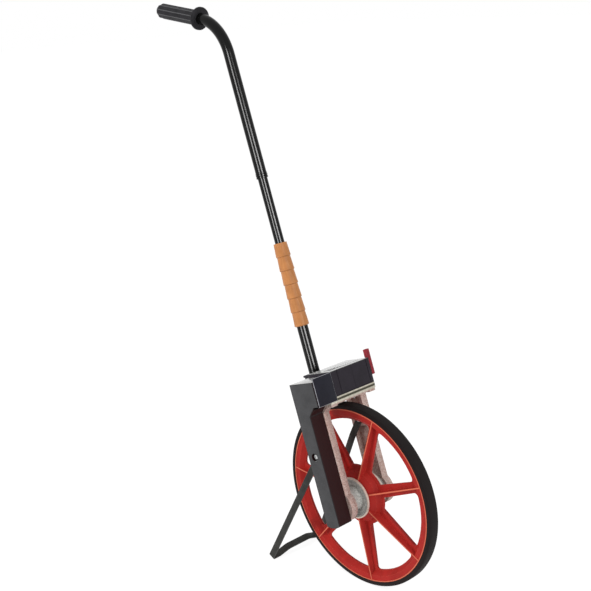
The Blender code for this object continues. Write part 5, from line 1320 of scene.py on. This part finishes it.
class MEASURING_WHEEL_OT_tubes(Maker, bpy.types.Operator):
    """Makes the socket, the telescopic tubes and the bent upper tube"""

    bl_idname = "measuring_wheel.tubes"
    bl_label = "Socket and tubes"

    def execute(self, context):
        enamel = black_enamel(look())
        # The socket's pale edges are a painted highlight.
        plastic = cover_plastic("socket_plastic_grained", look().counter_black, (0.12, 0.12, 0.12))
        settle("socket_block", eased(cad_copy("handle_socket"), look().plastic_edge / 2), None, "frame",
               plastic, "cover_plastic", "handle_socket")
        place = at_fork(-HANDLE_BACK)
        self.tube("tube_lower", LOWER_TUBE_RADIUS, (LOWER_TUBE_LOW, LOWER_TUBE_TOP), enamel, "frame", "lower_tube",
                  place)
        self.tube("tube_middle", MIDDLE_TUBE_RADIUS, (MIDDLE_TUBE_LOW, MIDDLE_TUBE_TOP), enamel, "handle",
                  "middle_tube", place)
        high = UPPER_TUBE_LOW - TOUCH
        low = high - COLLAR_LENGTH
        bore = MIDDLE_TUBE_RADIUS + TOUCH
        rim = COLLAR_RADIUS
        groove = rim - COLLAR_GROOVE_DEPTH
        profile = [(bore, low), (rim - TOUCH, low), (rim, low + TOUCH)]
        for start, floor_low, floor_high, end in COLLAR_GROOVES:
            profile += [(rim, low + start), (groove, low + floor_low), (groove, low + floor_high), (rim, low + end)]
        profile += [(rim, high - TOUCH), (rim - TOUCH, high), (bore, high)]
        settle("tube_collar_ringed", turned(profile, ROUND_STEPS), place, "handle", enamel, "black_enamel",
               "tube_collar")
        self.bent(enamel)
        return {"FINISHED"}

    def tube(self, name, radius, span, enamel, body, node, place):
        """A straight length of tube with softened ends."""
        low, high = span
        inner = radius - TUBE_WALL
        lip = TUBE_WALL / 4
        profile = [(inner, low), (radius - lip, low), (radius, low + lip), (radius, high - lip),
                   (radius - lip, high), (inner, high)]
        settle(name, turned(profile, ROUND_STEPS), place, body, enamel, "black_enamel", node)

    def bent(self, enamel):
        """A ring of wall pushed up the straight, round the bend and into the grip."""
        bm = bmesh.new()
        for radius in (UPPER_TUBE_RADIUS, MIDDLE_TUBE_RADIUS + TOUCH):
            bmesh.ops.create_circle(bm, segments=ROUND_STEPS, radius=radius,
                                    matrix=Matrix.Translation((-HANDLE_BACK, 0, UPPER_TUBE_LOW)))
        bmesh.ops.bridge_loops(bm, edges=list(bm.edges))
        grown = bmesh.ops.extrude_face_region(bm, geom=list(bm.faces), use_keep_orig=True)
        ring = faces_in(grown["geom"])
        corners = corners_in(grown["geom"])
        bmesh.ops.translate(bm, verts=corners, vec=(0, 0, BEND_START - UPPER_TUBE_LOW))
        centre = (-HANDLE_BACK - BEND_RADIUS, 0, BEND_START)
        swung = bmesh.ops.spin(bm, geom=ring, cent=centre, axis=(0, -1, 0), angle=BEND_TURN, steps=BEND_STEPS)
        ring = faces_in(swung["geom_last"])
        grown = bmesh.ops.extrude_face_region(bm, geom=ring)
        corners = corners_in(grown["geom"])
        inside = GRIP_LENGTH - GRIP_END_WALL - TOUCH
        bmesh.ops.translate(bm, verts=corners,
                            vec=(-inside * math.sin(BEND_TURN), 0, inside * math.cos(BEND_TURN)))
        bmesh.ops.remove_doubles(bm, verts=bm.verts, dist=0.000002)
        bmesh.ops.recalc_face_normals(bm, faces=bm.faces)
        settle("tube_upper_bent", bm, FORK_FRAME, "handle", enamel, "black_enamel", "upper_tube")


class MEASURING_WHEEL_OT_sleeve(Maker, bpy.types.Operator):
    """Makes the sliding sleeve, a stack of short cones"""

    bl_idname = "measuring_wheel.sleeve"
    bl_label = "Sliding sleeve"

    def execute(self, context):
        bore = LOWER_TUBE_RADIUS + TOUCH
        profile = [(bore, SLEEVE_LOW)]
        for index in range(SLEEVE_TEETH):
            foot = SLEEVE_LOW + index * SLEEVE_TOOTH
            profile += [(SLEEVE_ROOT, foot), (SLEEVE_TIP - TOUCH, foot + 0.75 * SLEEVE_STEP),
                        (SLEEVE_TIP, foot + SLEEVE_STEP), (SLEEVE_TIP - TOUCH, foot + 1.6 * SLEEVE_STEP),
                        (SLEEVE_ROOT, foot + SLEEVE_TOOTH - TOUCH)]
        top = SLEEVE_LOW + SLEEVE_TEETH * SLEEVE_TOOTH
        bm = turned(profile + [(SLEEVE_ROOT - TOUCH, top), (bore, top)], ROUND_STEPS)

        def at_lip(face):
            height = (face.calc_center_median().z - SLEEVE_LOW) / SLEEVE_TOOTH
            return height - math.floor(height) < 0.5 * SLEEVE_STEP / SLEEVE_TOOTH

        # The underside of each lip is marked for the darker painted shade.
        tagged(bm, "edge_wear_and_painted_light", at_lip)
        settle("sleeve_stepped", bm, at_fork(-HANDLE_BACK), "sleeve", orange_plastic(look()),
               "orange_plastic", "locking_sleeve")
        return {"FINISHED"}


class MEASURING_WHEEL_OT_grip(Maker, bpy.types.Operator):
    """Makes the ribbed grip with its flange"""

    bl_idname = "measuring_wheel.grip"
    bl_label = "Grip"

    def execute(self, context):
        bore = UPPER_TUBE_RADIUS + TOUCH
        round_start = GRIP_LENGTH - GRIP_RADIUS
        rim, lip, foot = GRIP_FLANGE_RADIUS, GRIP_LIP, GRIP_FLANGE + GRIP_LIP
        profile = [(bore, 0), (rim - lip, 0), (rim, lip), (rim, GRIP_FLANGE - lip), (rim - lip, GRIP_FLANGE),
                   (GRIP_RADIUS + lip, GRIP_FLANGE), (GRIP_RADIUS, foot)]
        profile += [(GRIP_RADIUS, foot + (round_start - foot) * step / 12) for step in range(1, 13)]
        profile += [(GRIP_RADIUS * math.cos(turn), round_start + GRIP_RADIUS * math.sin(turn))
                    for turn in [math.radians(angle) for angle in range(9, 90, 9)]]
        profile += [(0, GRIP_LENGTH), (0, GRIP_LENGTH - GRIP_END_WALL), (bore, GRIP_LENGTH - GRIP_END_WALL)]
        bm = turned(profile, GRIP_PANELS * 12)
        self.flute(bm, bore)
        place = FORK_FRAME @ Matrix.Translation(bend_point(1)) @ Matrix.Rotation(-BEND_TURN, 4, "Y")
        settle("grip_ribbed", bm, place, "handle", grip_vinyl(look()), "grip_vinyl", "grip",
               smooth=math.radians(50))
        return {"FINISHED"}

    def flute(self, bm, bore):
        """Sinks ten flat panels between narrow ridges."""
        pitch = FULL_TURN / GRIP_PANELS
        for corner in bm.verts:
            radius = math.hypot(corner.co.x, corner.co.y)
            if radius < bore + TOUCH or not GRIP_FLANGE + TOUCH <= corner.co.z <= GRIP_LENGTH - TOUCH:
                continue
            turn = math.atan2(corner.co.y, corner.co.x) % pitch / pitch
            aside = min(turn, 1 - turn) * 2
            sunk = min(1, max(0, (aside - GRIP_RIDGE) / GRIP_RIDGE_SLOPE))
            depth = GRIP_PANEL_DEPTH * sunk * min(1, radius / GRIP_RADIUS)
            flat = math.cos(pitch * 0.3) / math.cos((turn - 0.5) * pitch * 0.6)
            shrink = (radius - depth) / radius * (flat if aside > 0.3 else 1)
            corner.co.x *= shrink
            corner.co.y *= shrink

        def on_ridge(face):
            middle = face.calc_center_median()
            turn = math.atan2(middle.y, middle.x) % pitch / pitch
            along = GRIP_FLANGE + 0.001 < middle.z < GRIP_LENGTH - 0.6 * GRIP_RADIUS
            return along and min(turn, 1 - turn) < GRIP_RIDGE / 2

        # The ridges are marked for a paler tone: a painted sheen.
        tagged(bm, "edge_wear_and_painted_light", on_ridge)


class MEASURING_WHEEL_OT_inner_works(Maker, bpy.types.Operator):
    """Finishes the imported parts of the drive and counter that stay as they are"""

    bl_idname = "measuring_wheel.inner_works"
    bl_label = "Drive and inner works"

    def execute(self, context):
        steel = zinc_steel()
        cad_finish(steel, "axle", "axle_spacer_near", "axle_spacer_far",
                   "axle_bearing_near", "axle_bearing_far",
                   "drive_pulley", "input_shaft", "counter_pulley", "counter_shaft", "pinion_shaft",
                   "counter_frame_near", "counter_frame_far", "input_gear", "counter_gear")
        cad_finish(belt_rubber(), "drive_belt")
        cad_finish(drum_plastic(), *["transfer_pinion_%d" % number for number in range(1, DRUMS)])
        return {"FINISHED"}


class MEASURING_WHEEL_OT_stage(Maker, bpy.types.Operator):
    """Sets up the floor, the plain studio light and the camera"""

    bl_idname = "measuring_wheel.stage"
    bl_label = "Studio"

    def execute(self, context):
        scene = context.scene
        stage = scene.measuring_wheel_stage
        scene.view_settings.view_transform = "Standard"
        self.floor(stage)
        self.sky(stage)
        key = self.lamp("key_lamp", KEY_PLACE, LAMP_SIZE, stage.key_power)
        key.visible_glossy = False
        self.lamp("front_lamp", FRONT_PLACE, LAMP_SIZE, stage.front_power)
        enamelled = bpy.data.collections.new("enamelled")
        for item in scene.objects:
            if item.active_material and item.active_material.name.startswith("black_enamel"):
                enamelled.objects.link(item)
        for name, place, width in STREAKS:
            streak = self.lamp(name, place, (width, STREAK_HEIGHT), stage.streak_power * width)
            streak.visible_diffuse = False
            streak.light_linking.receiver_collection = enamelled
        self.camera(scene, stage)
        return {"FINISHED"}

    def floor(self, stage):
        bm = bmesh.new()
        bmesh.ops.create_grid(bm, x_segments=1, y_segments=1, size=20)
        mesh = mesh_from(bm, "studio_floor")
        floor = linked("studio_floor", mesh)
        surface = Surface("studio_paper")
        grain = surface.noise(40.0, 3.0)
        paper = surface.blend(grain, (0.86, 0.86, 0.86), (0.84, 0.84, 0.84))
        rays = surface.node("LightPath")
        seen = (Value(surface, rays.outputs["Is Camera Ray"]) + Value(surface, rays.outputs["Is Glossy Ray"])
                + Value(surface, rays.outputs["Is Transmission Ray"])).clamped()
        dim = 1.0 - stage.floor_share
        tone = surface.blend(seen, paper, (2 * dim,) * 3)
        glow = surface.blend(seen, (0, 0, 0), (stage.floor_share,) * 3)
        mesh.materials.append(surface.finish(base_color=tone, roughness=0.9, specular_ior_level=0.0,
                                             emission_color=glow, emission_strength=1.0))

    def sky(self, stage):
        world = bpy.data.worlds.new("studio_sky")
        world.use_nodes = True
        bpy.context.scene.world = world
        tree = world.node_tree
        tree.nodes.clear()
        even, white, rays, first, second, both, output = [tree.nodes.new("ShaderNode" + kind) for kind in (
            "Background", "Background", "LightPath", "Math", "Math", "MixShader", "OutputWorld")]
        for background, strength in ((even, stage.sky), (white, 1.0)):
            background.inputs["Strength"].default_value = strength
            background.inputs["Color"].default_value = (1, 1, 1, 1)
        first.operation = second.operation = "MAXIMUM"
        for source, target in ((rays.outputs["Is Camera Ray"], first.inputs[0]),
                               (rays.outputs["Is Glossy Ray"], first.inputs[1]),
                               (first.outputs[0], second.inputs[0]),
                               (rays.outputs["Is Transmission Ray"], second.inputs[1]),
                               (second.outputs[0], both.inputs["Fac"]),
                               (even.outputs[0], both.inputs[1]),
                               (white.outputs[0], both.inputs[2]),
                               (both.outputs[0], output.inputs["Surface"])):
            tree.links.new(source, target)

    def lamp(self, name, place, size, power):
        data = bpy.data.lights.new(name, "AREA")
        data.shape = "RECTANGLE"
        data.size, data.size_y = size
        data.energy = power
        lamp = linked(name, data)
        lamp.location = place
        lamp.rotation_euler = (LAMP_AIM - Vector(place)).to_track_quat("-Z", "Y").to_euler()
        lamp.visible_camera = False
        return lamp

    def camera(self, scene, stage):
        data = bpy.data.cameras.new("studio_camera")
        data.lens = stage.lens
        data.sensor_width = 36.0
        data.clip_start = 0.01
        data.clip_end = 100.0
        camera = linked("studio_camera", data)
        turn, lift, roll = CAMERA_TURN, CAMERA_LIFT, CAMERA_ROLL
        back = Vector((math.sin(turn) * math.cos(lift), -math.cos(turn) * math.cos(lift), math.sin(lift)))
        right = Vector((math.cos(turn), math.sin(turn), 0))
        up = back.cross(right)
        rolled_right = math.cos(roll) * right + math.sin(roll) * up
        rolled_up = math.cos(roll) * up - math.sin(roll) * right
        place = Matrix((rolled_right, rolled_up, back)).transposed().to_4x4()
        place.translation = CAMERA_TARGET + back * CAMERA_DISTANCE
        camera.matrix_world = place
        scene.camera = camera


class MEASURING_WHEEL_PT_makers(bpy.types.Panel):
    """Lists the makers of the measuring wheel's pieces"""

    bl_idname = "MEASURING_WHEEL_PT_makers"
    bl_label = "Measuring wheel"
    bl_space_type = "VIEW_3D"
    bl_region_type = "UI"
    bl_category = "Measuring wheel"

    def draw(self, context):
        layout = self.layout
        for maker in MAKERS:
            layout.operator(maker.bl_idname)
        for group in (context.scene.measuring_wheel_look, context.scene.measuring_wheel_stage):
            box = layout.box()
            for name in group.bl_rna.properties.keys():
                if name not in ("rna_type", "name"):
                    box.prop(group, name)


MAKERS = (
    MEASURING_WHEEL_OT_wheel,
    MEASURING_WHEEL_OT_tyre,
    MEASURING_WHEEL_OT_fork,
    MEASURING_WHEEL_OT_screws,
    MEASURING_WHEEL_OT_cover,
    MEASURING_WHEEL_OT_counter,
    MEASURING_WHEEL_OT_drums,
    MEASURING_WHEEL_OT_lever,
    MEASURING_WHEEL_OT_stand,
    MEASURING_WHEEL_OT_tubes,
    MEASURING_WHEEL_OT_sleeve,
    MEASURING_WHEEL_OT_grip,
    MEASURING_WHEEL_OT_inner_works,
    MEASURING_WHEEL_OT_stage,
)
CLASSES = (WheelLook, StageLook) + MAKERS + (MEASURING_WHEEL_PT_makers,)


def register():
    for made in CLASSES:
        bpy.utils.register_class(made)
    bpy.types.Scene.measuring_wheel_look = PointerProperty(type=WheelLook)
    bpy.types.Scene.measuring_wheel_stage = PointerProperty(type=StageLook)


def unregister():
    del bpy.types.Scene.measuring_wheel_stage
    del bpy.types.Scene.measuring_wheel_look
    for made in reversed(CLASSES):
        bpy.utils.unregister_class(made)


def main():
    register()
    makers = bpy.ops.measuring_wheel
    makers.wheel()
    makers.tyre()
    makers.fork()
    makers.screws()
    makers.cover()
    makers.counter()
    makers.drums()
    makers.lever()
    makers.stand()
    makers.tubes()
    makers.sleeve()
    makers.grip()
    makers.inner_works()
    makers.stage()


if __name__ == "__main__":
    main()
